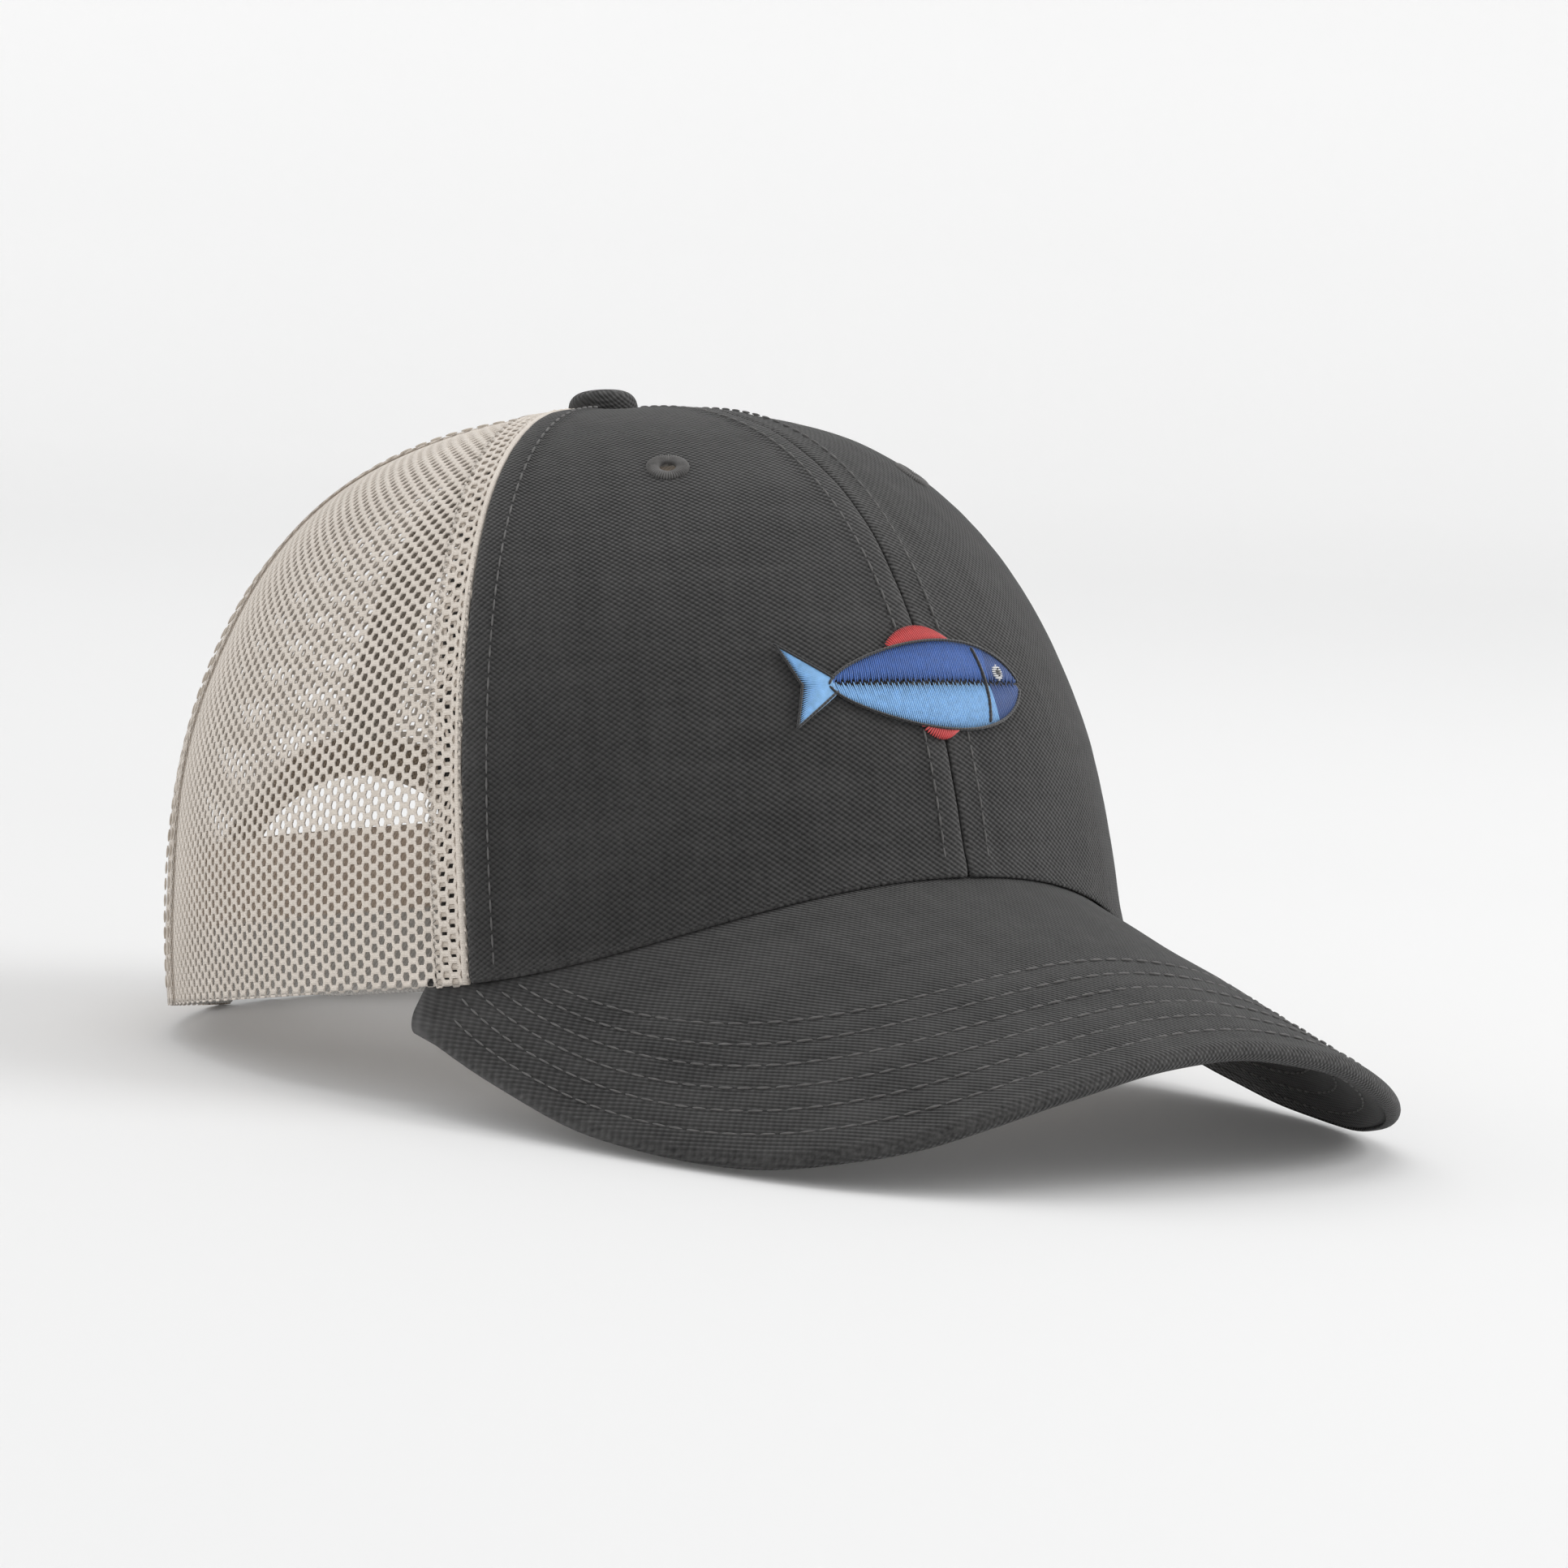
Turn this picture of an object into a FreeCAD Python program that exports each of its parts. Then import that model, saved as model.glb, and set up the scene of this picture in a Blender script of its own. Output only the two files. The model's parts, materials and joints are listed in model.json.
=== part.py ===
"""Trucker cap: six-panel crown, curved brim and snap closure, as it stands on a table.

Millimetres. The cap is modelled in the head frame, with the plane of the head opening at
Z 0, the front towards -Y and the wearer's right towards -X. At the end every piece gets the
same Placement, which tips the cap back until brim and rear edge rest on Z 0.
"""

import FreeCAD, Part
import Sketcher
import math
import os
from FreeCAD import Placement, Rotation, Vector

SIZES = {
    # crown
    "crown_half_length": 98.0,
    "crown_half_width": 86.6,
    "crown_height": 109.3,
    "front_roundness": 2.8,  # exponent of the wall's profile in plan, at the front
    "back_roundness": 2.4,
    "front_shoulder": 2.41,  # exponent of the wall's profile in height, at the front
    "back_shoulder": 2.23,
    "top_setback": 5.1,  # how far the top sits behind the middle of the opening
    "top_hole_radius": 2.5,
    "front_seam_angle": 60.0,
    "rear_seam_angle": 120.0,
    "seam_gap": 0.3,
    "canvas_thickness": 0.9,
    "mesh_thickness": 0.9,
    # front stiffener
    "buckram_thickness": 0.7,
    "buckram_margin": 2.0,
    "buckram_top_radius": 7.0,
    "layer_gap": 0.15,
    # tapes and sweatband
    "tape_width": 12.0,
    "tape_thickness": 0.5,
    "front_tape_depth": 2.0,
    "rear_tape_depth": 1.2,
    "tape_top_radius": 11.6,
    "band_depth": 3.3,
    "band_thickness": 1.2,
    "band_height": 30.0,
    # brim
    "brim_length": 66.5,
    "brim_half_width": 83.3,
    "brim_corner_angle": 65.4,
    "brim_rise": 15.1,  # height of the brim's root at the centre
    "brim_slope": 0.513,
    "brim_camber_drop": 49.5,  # fall of the root line at the brim's half width
    "brim_camber_power": 2.1,
    "brim_side_roundness": 2.84,
    "brim_front_roundness": 2.53,
    "brim_board_thickness": 2.0,
    "brim_cloth_thickness": 0.7,
    "brim_rim": 1.2,  # how far the board ends inside the covers' outline
    "brim_turn_in": 10.0,  # the width at the root over which the brim's layers turn upright
    "edge_ease_angle": 57.0,
    # rear opening and closure
    "arch_half_width": 38.0,
    "arch_height": 46.0,
    "binding_width": 8.0,
    "binding_thickness": 1.6,
    "strap_height": 18.0,
    "strap_lift": 1.8,
    "strap_thickness": 1.0,
    "strap_radius": 78.0,
    "hole_strap_depth": 1.9,
    "stud_strap_depth": 3.2,
    "hinge_inset": 0.9,  # how far the hinges stand inside the arch, at the straps' upper edge
    "hinge_gap": 0.95,
    "tab_length": 15.5,
    "snap_pitch": 7.0,
    "snap_count": 7,
    "snaps_closed": 4,
    "strap_tip_clearance": 0.9,  # from a strap's tip to the next stud
    "stud_radius": 1.9,
    "stud_height": 2.0,
    "snap_clearance": 0.45,
    # top button
    "button_radius": 6.75,
    "button_height": 5.0,
    "button_rounding": 2.8,
    "button_cloth": 0.6,
    "button_metal": 0.6,
    "button_gap": 0.15,
    "rivet_radius": 5.0,
    "rivet_thickness": 0.8,
    "shank_radius": 1.4,
    # eyelets
    "eyelet_angle": 30.0,
    "eyelet_height": 93.0,
    "eyelet_ring_radius": 2.75,
    "eyelet_thread_radius": 1.2,
    # embroidery on the front
    "motif_angle": 18.5,
    "motif_bottom": 41.0,
    "motif_top": 60.5,
    "motif_thickness": 0.7,
}

doc = FreeCAD.newDocument("trucker_cap")
sheet = doc.addObject("Spreadsheet::Sheet", "Sizes")
for row, (alias, value) in enumerate(SIZES.items(), start=1):
    sheet.set(f"A{row}", alias)
    sheet.set(f"B{row}", str(value))
    sheet.setAlias(f"B{row}", alias)
doc.recompute()

subparts = []  # the finished objects, one to a node


def size(alias):
    """A driving dimension, read from the sheet."""
    return float(sheet.get(alias))


def keep(obj, name):
    """Names a finished sub-part and lists it for the export."""
    obj.Label = name
    subparts.append(obj)
    return obj


# ---- the crown's surface ------------------------------------------------------------------
# A point is given by its angle from the front (positive to the wearer's right), its rise from
# 0 at the opening to 1 at the top, and its depth below the outer face of the cloth.

HALF_TURN = math.pi / 2


def share_of_front(angle):
    return (1 + math.cos(angle)) / 2


def between(front, back, angle):
    share = share_of_front(angle)
    return size(front) * share + size(back) * (1 - share)


def outer_point(angle, rise):
    arc = rise * HALF_TURN
    height = size("crown_height") * math.sin(arc) ** (2 / between("front_shoulder", "back_shoulder", angle))
    spread = math.cos(arc) ** (2 / between("front_roundness", "back_roundness", angle))
    setback = size("top_setback") * height / size("crown_height")
    return Vector(
        -size("crown_half_width") * spread * math.sin(angle),
        -size("crown_half_length") * spread * math.cos(angle) + setback,
        height,
    )


def rise_at_height(angle, height):
    """The rise at which the crown reaches a height above the opening."""
    share = max(height, 0.0) / size("crown_height")
    return math.asin(share ** (between("front_shoulder", "back_shoulder", angle) / 2)) / HALF_TURN


def radius_at(rise):
    """The crown's mean radius in plan at a rise."""
    mean = (size("crown_half_length") + size("crown_half_width")) / 2
    return mean * math.cos(rise * HALF_TURN) ** (2 / size("front_roundness"))


def rise_at_radius(radius):
    mean = (size("crown_half_length") + size("crown_half_width")) / 2
    return math.acos((radius / mean) ** (size("front_roundness") / 2)) / HALF_TURN


def crown_point(angle, rise, depth=0.0):
    step = 1e-4
    near = min(max(rise, step), 1 - step)
    up = outer_point(angle, near + step) - outer_point(angle, near - step)
    along = outer_point(angle + step, rise) - outer_point(angle - step, rise)
    inward = along.cross(up)
    if inward.dot(Vector(0, 0, -size("crown_height") / 3) + outer_point(angle, rise)) > 0:
        inward = -inward
    return outer_point(angle, rise) + inward.normalize() * depth


# ---- the brim's surface -------------------------------------------------------------------

CORNER = math.radians(size("brim_corner_angle"))
BRIM_TUCK = size("band_depth") - size("seam_gap")


def brim_height(x, y):
    """Height of the brim's top face: cambered across, sloping down to the front."""
    forward = -y - size("crown_half_length")
    across = abs(x) / size("brim_half_width")
    camber = size("brim_camber_drop") * across ** size("brim_camber_power")
    return size("brim_rise") - camber - size("brim_slope") * forward


def ease(share):
    share = min(max(share, 0.0), 1.0)
    return 1 - share * share * (3 - 2 * share)


def edge_height(angle, depth=0.0):
    """Height of the crown's bottom edge: on the brim in front, easing to the opening behind."""
    on_brim = min(abs(angle), CORNER)
    height = 0.0
    for _ in range(5):
        root = crown_point(on_brim, rise_at_height(on_brim, height), depth)
        height = brim_height(root.x, root.y)
    return height * ease((abs(angle) - CORNER) / math.radians(size("edge_ease_angle")))


def brim_thickness():
    return size("brim_board_thickness") + 2 * size("brim_cloth_thickness") + 2 * size("layer_gap")


def brim_top_point(out, across):
    """A point of the brim's top face: out is 0 at the root, tucked in under the crown, and 1
    at the outline, and across runs from -1 to 1 between the brim's corners."""
    turn = across * HALF_TURN
    root = crown_point(across * CORNER, 0.0, BRIM_TUCK)
    base_y = -size("crown_half_length") * math.cos(CORNER)
    reach = size("crown_half_length") + size("brim_length") + base_y
    x = -size("brim_half_width") * math.sin(turn)
    flat = 1 - abs(math.sin(turn)) ** size("brim_side_roundness")
    y = base_y - reach * max(flat, 0.0) ** (1 / size("brim_front_roundness"))
    plan_x = root.x + (x - root.x) * out
    plan_y = root.y + (y - root.y) * out
    showing = max(math.hypot(x - root.x, y - root.y) * out - BRIM_TUCK, 0.0)
    curl = brim_thickness() * showing / size("brim_length")
    return Vector(plan_x, plan_y, brim_height(plan_x, plan_y) + curl)


def brim_length_at(across):
    """Plan length of the brim from its tucked root to its outline."""
    span = brim_top_point(1.0, across) - brim_top_point(0.0, across)
    return math.hypot(span.x, span.y)


def brim_point(out, across, depth):
    """A point of the brim, depth below its top face: straight down at the root, so that every
    layer ends in front of the sweatband, and along the face's normal further out."""
    step = 1e-3
    outward = brim_top_point(out + step, across) - brim_top_point(out - step, across)
    sideways = brim_top_point(out, across + step) - brim_top_point(out, across - step)
    normal = outward.cross(sideways).normalize()
    if normal.z > 0:
        normal = -normal
    turned = min(max(out, 0.0) * brim_length_at(across) / size("brim_turn_in"), 1.0)
    down = Vector(0, 0, 1 / normal.z)
    return brim_top_point(out, across) + (normal * turned + down * (1 - turned)) * depth


# ---- cloth as closed solids ---------------------------------------------------------------


def surface_through(grid):
    surface = Part.BSplineSurface()
    surface.interpolate(grid)
    return surface


def slab(outer_grid, inner_grid):
    """The closed solid between two grids of points, with ruled sides."""
    outer, inner = surface_through(outer_grid), surface_through(inner_grid)
    faces = [outer.toShape(), inner.toShape()]
    for u in (0.0, 1.0):
        faces.append(Part.makeRuledSurface(outer.uIso(u).toShape(), inner.uIso(u).toShape()))
    for v in (0.0, 1.0):
        faces.append(Part.makeRuledSurface(outer.vIso(v).toShape(), inner.vIso(v).toShape()))
    shell = Part.makeShell(faces)
    shell.sewShape()
    solid = Part.makeSolid(shell.Shells[0] if shell.ShapeType != "Shell" else shell)
    if solid.Volume < 0:
        solid.reverse()
    return solid


def steps(first, last, count):
    return [first + (last - first) * i / (count - 1) for i in range(count)]


def crown_slab(first, last, depth, thickness, bottom, top, columns, rows, margin=(0.0, 0.0)):
    """Cloth on the crown between two angles. bottom(angle, depth) is a height, top a rise, and
    margin is what the two upright sides are set in by, in millimetres."""

    def grid(at_depth):
        def angle_at(share, rise):
            start = first + margin[0] / radius_at(rise)
            return start + (last - margin[1] / radius_at(rise) - start) * share

        lines = []
        for share in steps(0.0, 1.0, columns):
            foot = angle_at(share, 0.0)
            low = rise_at_height(foot, bottom(foot, at_depth))
            rises = steps(low, top(foot), rows)
            lines.append([crown_point(angle_at(share, rise), rise, at_depth) for rise in rises])
        return lines

    return slab(grid(depth), grid(depth + thickness))


def cloth(name, shape):
    """A Part::Feature for a piece of cloth, which no sketch or primitive describes."""
    feature = doc.addObject("Part::Feature", name)
    feature.Shape = shape
    return feature


def radians(alias):
    return math.radians(size(alias))


def cut(name, base, *tools):
    """base with the tools taken away."""
    for i, tool in enumerate(tools):
        result = doc.addObject("Part::Cut", f"{name}_{i}")
        result.Base, result.Tool = base, tool
        base = result
    return base


def cylinder(name, radius, height, placement):
    """A Part::Cylinder whose radius and height are expressions on the sheet."""
    body = doc.addObject("Part::Cylinder", name)
    body.setExpression("Radius", radius)
    body.setExpression("Height", height)
    body.Placement = placement
    return body


def facing(point, direction, setback=0.0):
    """A Placement at a point, with local +Z along a direction."""
    turn = Rotation(Vector(0, 0, 1), direction)
    return Placement(point - Vector(direction).normalize() * setback, turn)


# ---- crown panels -------------------------------------------------------------------------

PANEL_COLUMNS, PANEL_ROWS = 9, 17
TOP_RISE = rise_at_radius(size("top_hole_radius"))
FRONT_SEAM, REAR_SEAM = radians("front_seam_angle"), radians("rear_seam_angle")
SEAM_INSET = size("seam_gap") / 2
SIDES = {"right": 1, "left": -1}  # the wearer's side, and the sign of its angles


def above_brim(angle, depth):
    return edge_height(angle, depth) + size("seam_gap")


def panel(side, first, last, thickness):
    """One gore of the crown, from the brim or the opening up to the button."""
    angles = sorted((SIDES[side] * first, SIDES[side] * last))
    return crown_slab(
        *angles, 0.0, thickness, above_brim, lambda angle: TOP_RISE,
        PANEL_COLUMNS, PANEL_ROWS, (SEAM_INSET, SEAM_INSET),
    )


def eyelet_place(side, depth):
    """The eyelet's centre at a depth, and the crown's inward direction there."""
    angle = SIDES[side] * radians("eyelet_angle")
    rise = rise_at_height(angle, size("eyelet_height"))
    centre = crown_point(angle, rise, depth)
    return centre, centre - crown_point(angle, rise, depth - 1)


def arch_prism():
    """The rear opening with its binding, as an elliptical bar that runs through the back."""
    outline = doc.addObject("Part::Ellipse", "arch_outline")
    outline.setExpression("MajorRadius", "Sizes.arch_height + Sizes.binding_width + Sizes.seam_gap")
    outline.setExpression("MinorRadius", "Sizes.arch_half_width + Sizes.binding_width + Sizes.seam_gap")
    outline.Placement = Placement(Vector(), Rotation(Vector(0, 0, 1), Vector(1, 0, 0), Vector(0, 1, 0), "ZXY"))
    bar = doc.addObject("Part::Extrusion", "arch_prism")
    bar.Base = outline
    bar.DirMode = "Custom"
    bar.Dir = Vector(0, 1, 0)
    bar.setExpression("LengthFwd", "Sizes.crown_half_length * 2")
    bar.Solid = True
    return bar


arch = arch_prism()
for side in SIDES:
    centre, inward = eyelet_place(side, 0.0)
    hole = cylinder(
        f"eyelet_hole_{side}", "Sizes.eyelet_ring_radius + Sizes.eyelet_thread_radius + Sizes.layer_gap",
        "Sizes.eyelet_ring_radius * 4", facing(centre, inward, size("eyelet_ring_radius") * 2),
    )
    canvas = cloth(f"canvas_{side}", panel(side, 0.0, FRONT_SEAM, size("canvas_thickness")))
    keep(cut(f"front_{side}", canvas, hole), f"front_panel_{side}")
    mesh = size("mesh_thickness")
    keep(cloth(f"side_{side}", panel(side, FRONT_SEAM, REAR_SEAM, mesh)), f"side_mesh_{side}")
    back = cloth(f"back_{side}", panel(side, REAR_SEAM, math.pi, mesh))
    keep(cut(f"back_arched_{side}", back, arch), f"back_mesh_{side}")

    # the buckram stiffens the front panel from inside
    buckram_depth = size("canvas_thickness") + size("layer_gap")
    angles = sorted((0.0, SIDES[side] * FRONT_SEAM))
    margin = size("buckram_margin")
    stiffener = crown_slab(
        *angles, buckram_depth, size("buckram_thickness"), above_brim,
        lambda angle: rise_at_radius(size("buckram_top_radius")),
        PANEL_COLUMNS, PANEL_ROWS, (margin, margin),
    )
    keep(cut(f"stiff_{side}", cloth(f"buckram_blank_{side}", stiffener), hole), f"buckram_{side}")

    ring = doc.addObject("Part::Torus", f"eyelet_ring_{side}")
    ring.setExpression("Radius1", "Sizes.eyelet_ring_radius")
    ring.setExpression("Radius2", "Sizes.eyelet_thread_radius")
    middle, inward = eyelet_place(side, size("canvas_thickness") / 2)
    ring.Placement = facing(middle, inward)
    keep(ring, f"eyelet_{side}")

# ---- tapes over the seams inside, and the sweatband ---------------------------------------

TAPE_TOP = rise_at_radius(size("tape_top_radius"))
TAPE_COLUMNS, TAPE_ROWS = 4, 17


def tape(name, angle, depth, bottom):
    """A strip of tape, centred on a seam, from a bottom height up to near the button."""
    half = size("tape_width") / 2
    shape = crown_slab(
        angle, angle, depth, size("tape_thickness"), bottom, lambda at: TAPE_TOP,
        TAPE_COLUMNS, TAPE_ROWS, (-half, -half),
    )
    keep(cloth(name, shape), name)


def behind_band(angle, depth):
    return edge_height(angle, depth) + size("seam_gap") * 3


def above_arch(angle, depth):
    return size("arch_height") + size("binding_width") + size("seam_gap") * 2


tape("front_centre_tape", 0.0, size("front_tape_depth"), behind_band)
tape("back_centre_tape", math.pi, size("rear_tape_depth"), above_arch)
for side, sign in SIDES.items():
    tape(f"front_seam_tape_{side}", sign * FRONT_SEAM, size("front_tape_depth"), behind_band)
    tape(f"rear_seam_tape_{side}", sign * REAR_SEAM, size("rear_tape_depth"), behind_band)


def angle_at_x(x, height, depth=0.0):
    """The angle at which the back of the crown passes a distance to the wearer's right."""
    angle = math.pi
    for _ in range(12):
        point = crown_point(angle, rise_at_height(angle, height), depth)
        angle -= (x + point.x) / size("crown_half_width")
    return angle


def band_bottom(angle, depth):
    """The band hangs to the underside of the brim in front, and to the opening behind."""
    return edge_height(angle, depth) - brim_thickness() * ease(3 * (abs(angle) - CORNER))


def band_top(angle):
    return rise_at_height(angle, edge_height(angle, size("band_depth")) + size("band_height"))


BAND_END = angle_at_x(size("arch_half_width") + size("seam_gap") * 6, size("band_height") / 2)
BAND_COLUMNS, BAND_ROWS = 49, 5
keep(
    cloth(
        "band",
        crown_slab(
            -BAND_END, BAND_END, size("band_depth"), size("band_thickness"),
            band_bottom, band_top, BAND_COLUMNS, BAND_ROWS,
        ),
    ),
    "sweatband",
)

# ---- brim ---------------------------------------------------------------------------------

BRIM_COLUMNS, BRIM_ROWS = 31, 9


def brim_slab(top_depth, thickness, rim, ends):
    """A layer of the brim. rim is its set-in from the outline, in millimetres, and ends the
    share of the width that it covers."""

    def grid(depth):
        lines = []
        for across in steps(-ends, ends, BRIM_COLUMNS):
            length = brim_length_at(across)
            line = []
            for out in steps(0.0, 1 - rim / length, BRIM_ROWS):
                line.append(brim_point(out, across, depth))
            lines.append(line)
        return lines

    return slab(grid(top_depth), grid(top_depth + thickness))


CLOTH = size("brim_cloth_thickness")
BOARD_TOP = CLOTH + size("layer_gap")
BOARD_BOTTOM = BOARD_TOP + size("brim_board_thickness")
UNDER_TOP = BOARD_BOTTOM + size("layer_gap")
RIM = size("brim_rim")
FULL, BOARD_ENDS = 0.999, 0.985  # shares of the brim's width

keep(cloth("top_cover", brim_slab(0.0, CLOTH, 0.0, FULL)), "brim_top_cover")
keep(cloth("board", brim_slab(BOARD_TOP, size("brim_board_thickness"), RIM, BOARD_ENDS)), "brim_board")
keep(cloth("under_cover", brim_slab(UNDER_TOP, CLOTH, 0.0, FULL)), "brim_under_cover")

# ---- rear opening: binding and snap straps ------------------------------------------------


def arch_binding():
    """The folded tape round the rear opening."""

    def grid(depth):
        lines = []
        for turn in steps(0.0, math.pi, 33):
            line = []
            for reach in steps(0.0, size("binding_width"), 3):
                x = (size("arch_half_width") + reach) * math.cos(turn)
                height = (size("arch_height") + reach) * math.sin(turn)
                angle = angle_at_x(x, height)
                line.append(crown_point(angle, rise_at_height(angle, height), depth))
            lines.append(line)
        return lines

    return slab(grid(0.0), grid(size("binding_thickness")))


keep(cloth("binding", arch_binding()), "arch_binding")

STRAP_CENTRE = size("crown_half_length") - size("strap_radius")


def curved_wall(name, depth):
    """The tube that a strap is cut from, thick as the strap, following the back of the head."""
    place = Placement(Vector(0, STRAP_CENTRE, 0), Rotation())
    outer = cylinder(f"{name}_outer", f"Sizes.strap_radius - Sizes.{depth}", "Sizes.crown_height", place)
    inner = cylinder(
        f"{name}_inner", f"Sizes.strap_radius - Sizes.{depth} - Sizes.strap_thickness", "Sizes.crown_height", place
    )
    return cut(f"{name}_wall", outer, inner)


def band_blank(name, low, high):
    """A strip with round ends, seen from behind, that runs through the back of the cap."""
    radius = size("strap_height") / 2
    middle = size("strap_lift") + radius
    pieces = []
    for i, x in enumerate((low + radius, high - radius)):
        place = Placement(Vector(x, STRAP_CENTRE, middle), Rotation(Vector(1, 0, 0), -90))
        pieces.append(cylinder(f"{name}_end_{i}", "Sizes.strap_height / 2", "Sizes.strap_radius", place))
    bar = doc.addObject("Part::Box", f"{name}_bar")
    bar.Length = high - low - 2 * radius
    bar.setExpression("Width", "Sizes.strap_radius")
    bar.setExpression("Height", "Sizes.strap_height")
    bar.Placement = Placement(Vector(low + radius, STRAP_CENTRE, size("strap_lift")), Rotation())
    whole = doc.addObject("Part::MultiFuse", f"{name}_blank")
    whole.Shapes = [*pieces, bar]
    return whole


def common(name, first, second):
    result = doc.addObject("Part::Common", name)
    result.Base, result.Tool = first, second
    return result


def snap_turns(sign):
    """The turns about the straps' centre of one strap's snaps, from its tip to its sewn end."""
    tip = (size("snaps_closed") - 1) / 2
    pitch = size("snap_pitch") / size("strap_radius")
    return [sign * (tip - i) * pitch for i in range(int(size("snap_count")))]


def radial(turn, depth, height):
    """A Placement on the straps, turned to point straight out of the back."""
    out = Vector(math.sin(turn), math.cos(turn), 0)
    radius = size("strap_radius") - depth
    return facing(Vector(0, STRAP_CENTRE, height) + out * radius, out)


STRAP_MIDDLE = size("strap_lift") + size("strap_height") / 2
TIP_MARGIN = size("snap_pitch") - size("stud_radius") - size("strap_tip_clearance")
TIP_LENGTH = (size("snaps_closed") - 1) / 2 * size("snap_pitch") + TIP_MARGIN
STRAP_TOP_SHARE = (size("strap_lift") + size("strap_height")) / size("arch_height")
HINGE_OFFSET = size("arch_half_width") * math.sqrt(1 - STRAP_TOP_SHARE**2) - size("hinge_inset")
STRAP_REACH = (size("strap_radius") - size("hole_strap_depth")) * math.sin(TIP_LENGTH / size("strap_radius"))


def strap(name, sign, depth):
    """A strap's free length. sign is the side of its tip: +1 towards the wearer's left."""
    low, high = sorted((sign * STRAP_REACH, -sign * HINGE_OFFSET))
    return common(f"{name}_strip", curved_wall(name, depth), band_blank(name, low, high))


def sewn_tab(name, sign):
    """The end of a strap that is sewn in between mesh and sweatband."""
    first = HINGE_OFFSET + size("hinge_gap")
    box = doc.addObject("Part::Box", f"{name}_box")
    box.setExpression("Length", "Sizes.tab_length")
    box.setExpression("Width", "Sizes.strap_radius")
    box.setExpression("Height", "Sizes.strap_height")
    low = first if sign > 0 else -first - size("tab_length")
    box.Placement = Placement(Vector(low, STRAP_CENTRE, size("strap_lift")), Rotation())
    keep(common(f"{name}_cut", curved_wall(name, "hole_strap_depth"), box), name)


hole_strip = strap("hole", 1, "hole_strap_depth")
holes = [
    cylinder(
        f"snap_hole_{i}", "Sizes.stud_radius + Sizes.snap_clearance", "Sizes.stud_height * 3",
        radial(turn, size("stud_strap_depth") + size("stud_height"), STRAP_MIDDLE),
    )
    for i, turn in enumerate(snap_turns(1))
]
keep(cut("hole_strap_pierced", hole_strip, *holes), "hole_strap")

stud_strip = strap("stud", -1, "stud_strap_depth")
studs = [
    cylinder(
        f"stud_{i}", "Sizes.stud_radius", "Sizes.stud_height + Sizes.strap_thickness / 2",
        radial(turn, size("stud_strap_depth") + size("strap_thickness") / 2, STRAP_MIDDLE),
    )
    for i, turn in enumerate(snap_turns(-1))
]
studded = doc.addObject("Part::MultiFuse", "studded_strip")
studded.Shapes = [stud_strip, *studs]
keep(studded, "stud_strap")
sewn_tab("stud_strap_tab", 1)
sewn_tab("hole_strap_tab", -1)

# ---- top button ---------------------------------------------------------------------------

CROWN_TOP = Vector(0, size("top_setback"), size("crown_height"))


def round_pad(name, *pads, rounding=None):
    """A PartDesign body turned about Z: pads of (radius, start, length), each an expression."""
    body = doc.addObject("PartDesign::Body", name)
    plane = next(f for f in body.Origin.OriginFeatures if f.Role == "XY_Plane")
    for i, (radius, start, length) in enumerate(pads):
        sketch = body.newObject("Sketcher::SketchObject", f"{name}_disc_{i}")
        sketch.AttachmentSupport = [(plane, "")]
        sketch.MapMode = "FlatFace"
        sketch.addGeometry(Part.Circle(Vector(), Vector(0, 0, 1), 1.0), False)
        sketch.addConstraint(Sketcher.Constraint("Coincident", 0, 3, -1, 1))
        radius_constraint = sketch.addConstraint(Sketcher.Constraint("Radius", 0, 1.0))
        sketch.setExpression(f"Constraints[{radius_constraint}]", radius)
        sketch.setExpression("AttachmentOffset.Base.z", start)
        pad = body.newObject("PartDesign::Pad", f"{name}_pad_{i}")
        pad.Profile = sketch
        pad.setExpression("Length", length)
    doc.recompute()
    if rounding:
        edges = pad.Shape.Edges
        top = max(range(len(edges)), key=lambda i: edges[i].CenterOfMass.z)
        round_edge = body.newObject("PartDesign::Fillet", f"{name}_rounding")
        round_edge.Base = (pad, [f"Edge{top + 1}"])
        round_edge.setExpression("Radius", rounding)
    body.Placement = Placement(CROWN_TOP, Rotation())
    return body


def button_layer(name, inset):
    """The button's rounded outline, set in by an expression."""
    return round_pad(
        name,
        (f"Sizes.button_radius - {inset}", "Sizes.button_gap", f"Sizes.button_height - {inset}"),
        rounding=f"Sizes.button_rounding - {inset}",
    )


METAL_INSET = "(Sizes.button_cloth + Sizes.button_gap)"
cover = button_layer("cover_outline", "0")
cover_core = button_layer("cover_core", "Sizes.button_cloth")
keep(cut("covered", cover, cover_core), "button_cover")
metal = button_layer("metal_outline", METAL_INSET)
metal_core = button_layer("metal_core", f"({METAL_INSET} + Sizes.button_metal)")
keep(cut("metal_cap", metal, metal_core), "button_shell")
rivet = round_pad(
    "rivet",
    (
        "Sizes.rivet_radius", "-Sizes.canvas_thickness - Sizes.seam_gap - Sizes.rivet_thickness",
        "Sizes.rivet_thickness",
    ),
    (
        "Sizes.shank_radius", "-Sizes.canvas_thickness - Sizes.seam_gap",
        "Sizes.canvas_thickness + Sizes.seam_gap + Sizes.button_height"
        " - Sizes.button_cloth - Sizes.button_metal - Sizes.button_gap",
    ),
)
keep(rivet, "button_rivet")

# ---- embroidery ---------------------------------------------------------------------------

MOTIF = radians("motif_angle")
MOTIF_TOP = size("motif_top")
motif = crown_slab(
    -MOTIF, MOTIF, -size("layer_gap") - size("motif_thickness"), size("motif_thickness"),
    lambda angle, depth: size("motif_bottom"), lambda angle: rise_at_height(angle, MOTIF_TOP), 7, 5,
)
keep(cloth("motif", motif), "embroidered_motif")

doc.recompute()

# ---- the cap on its table -----------------------------------------------------------------


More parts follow.
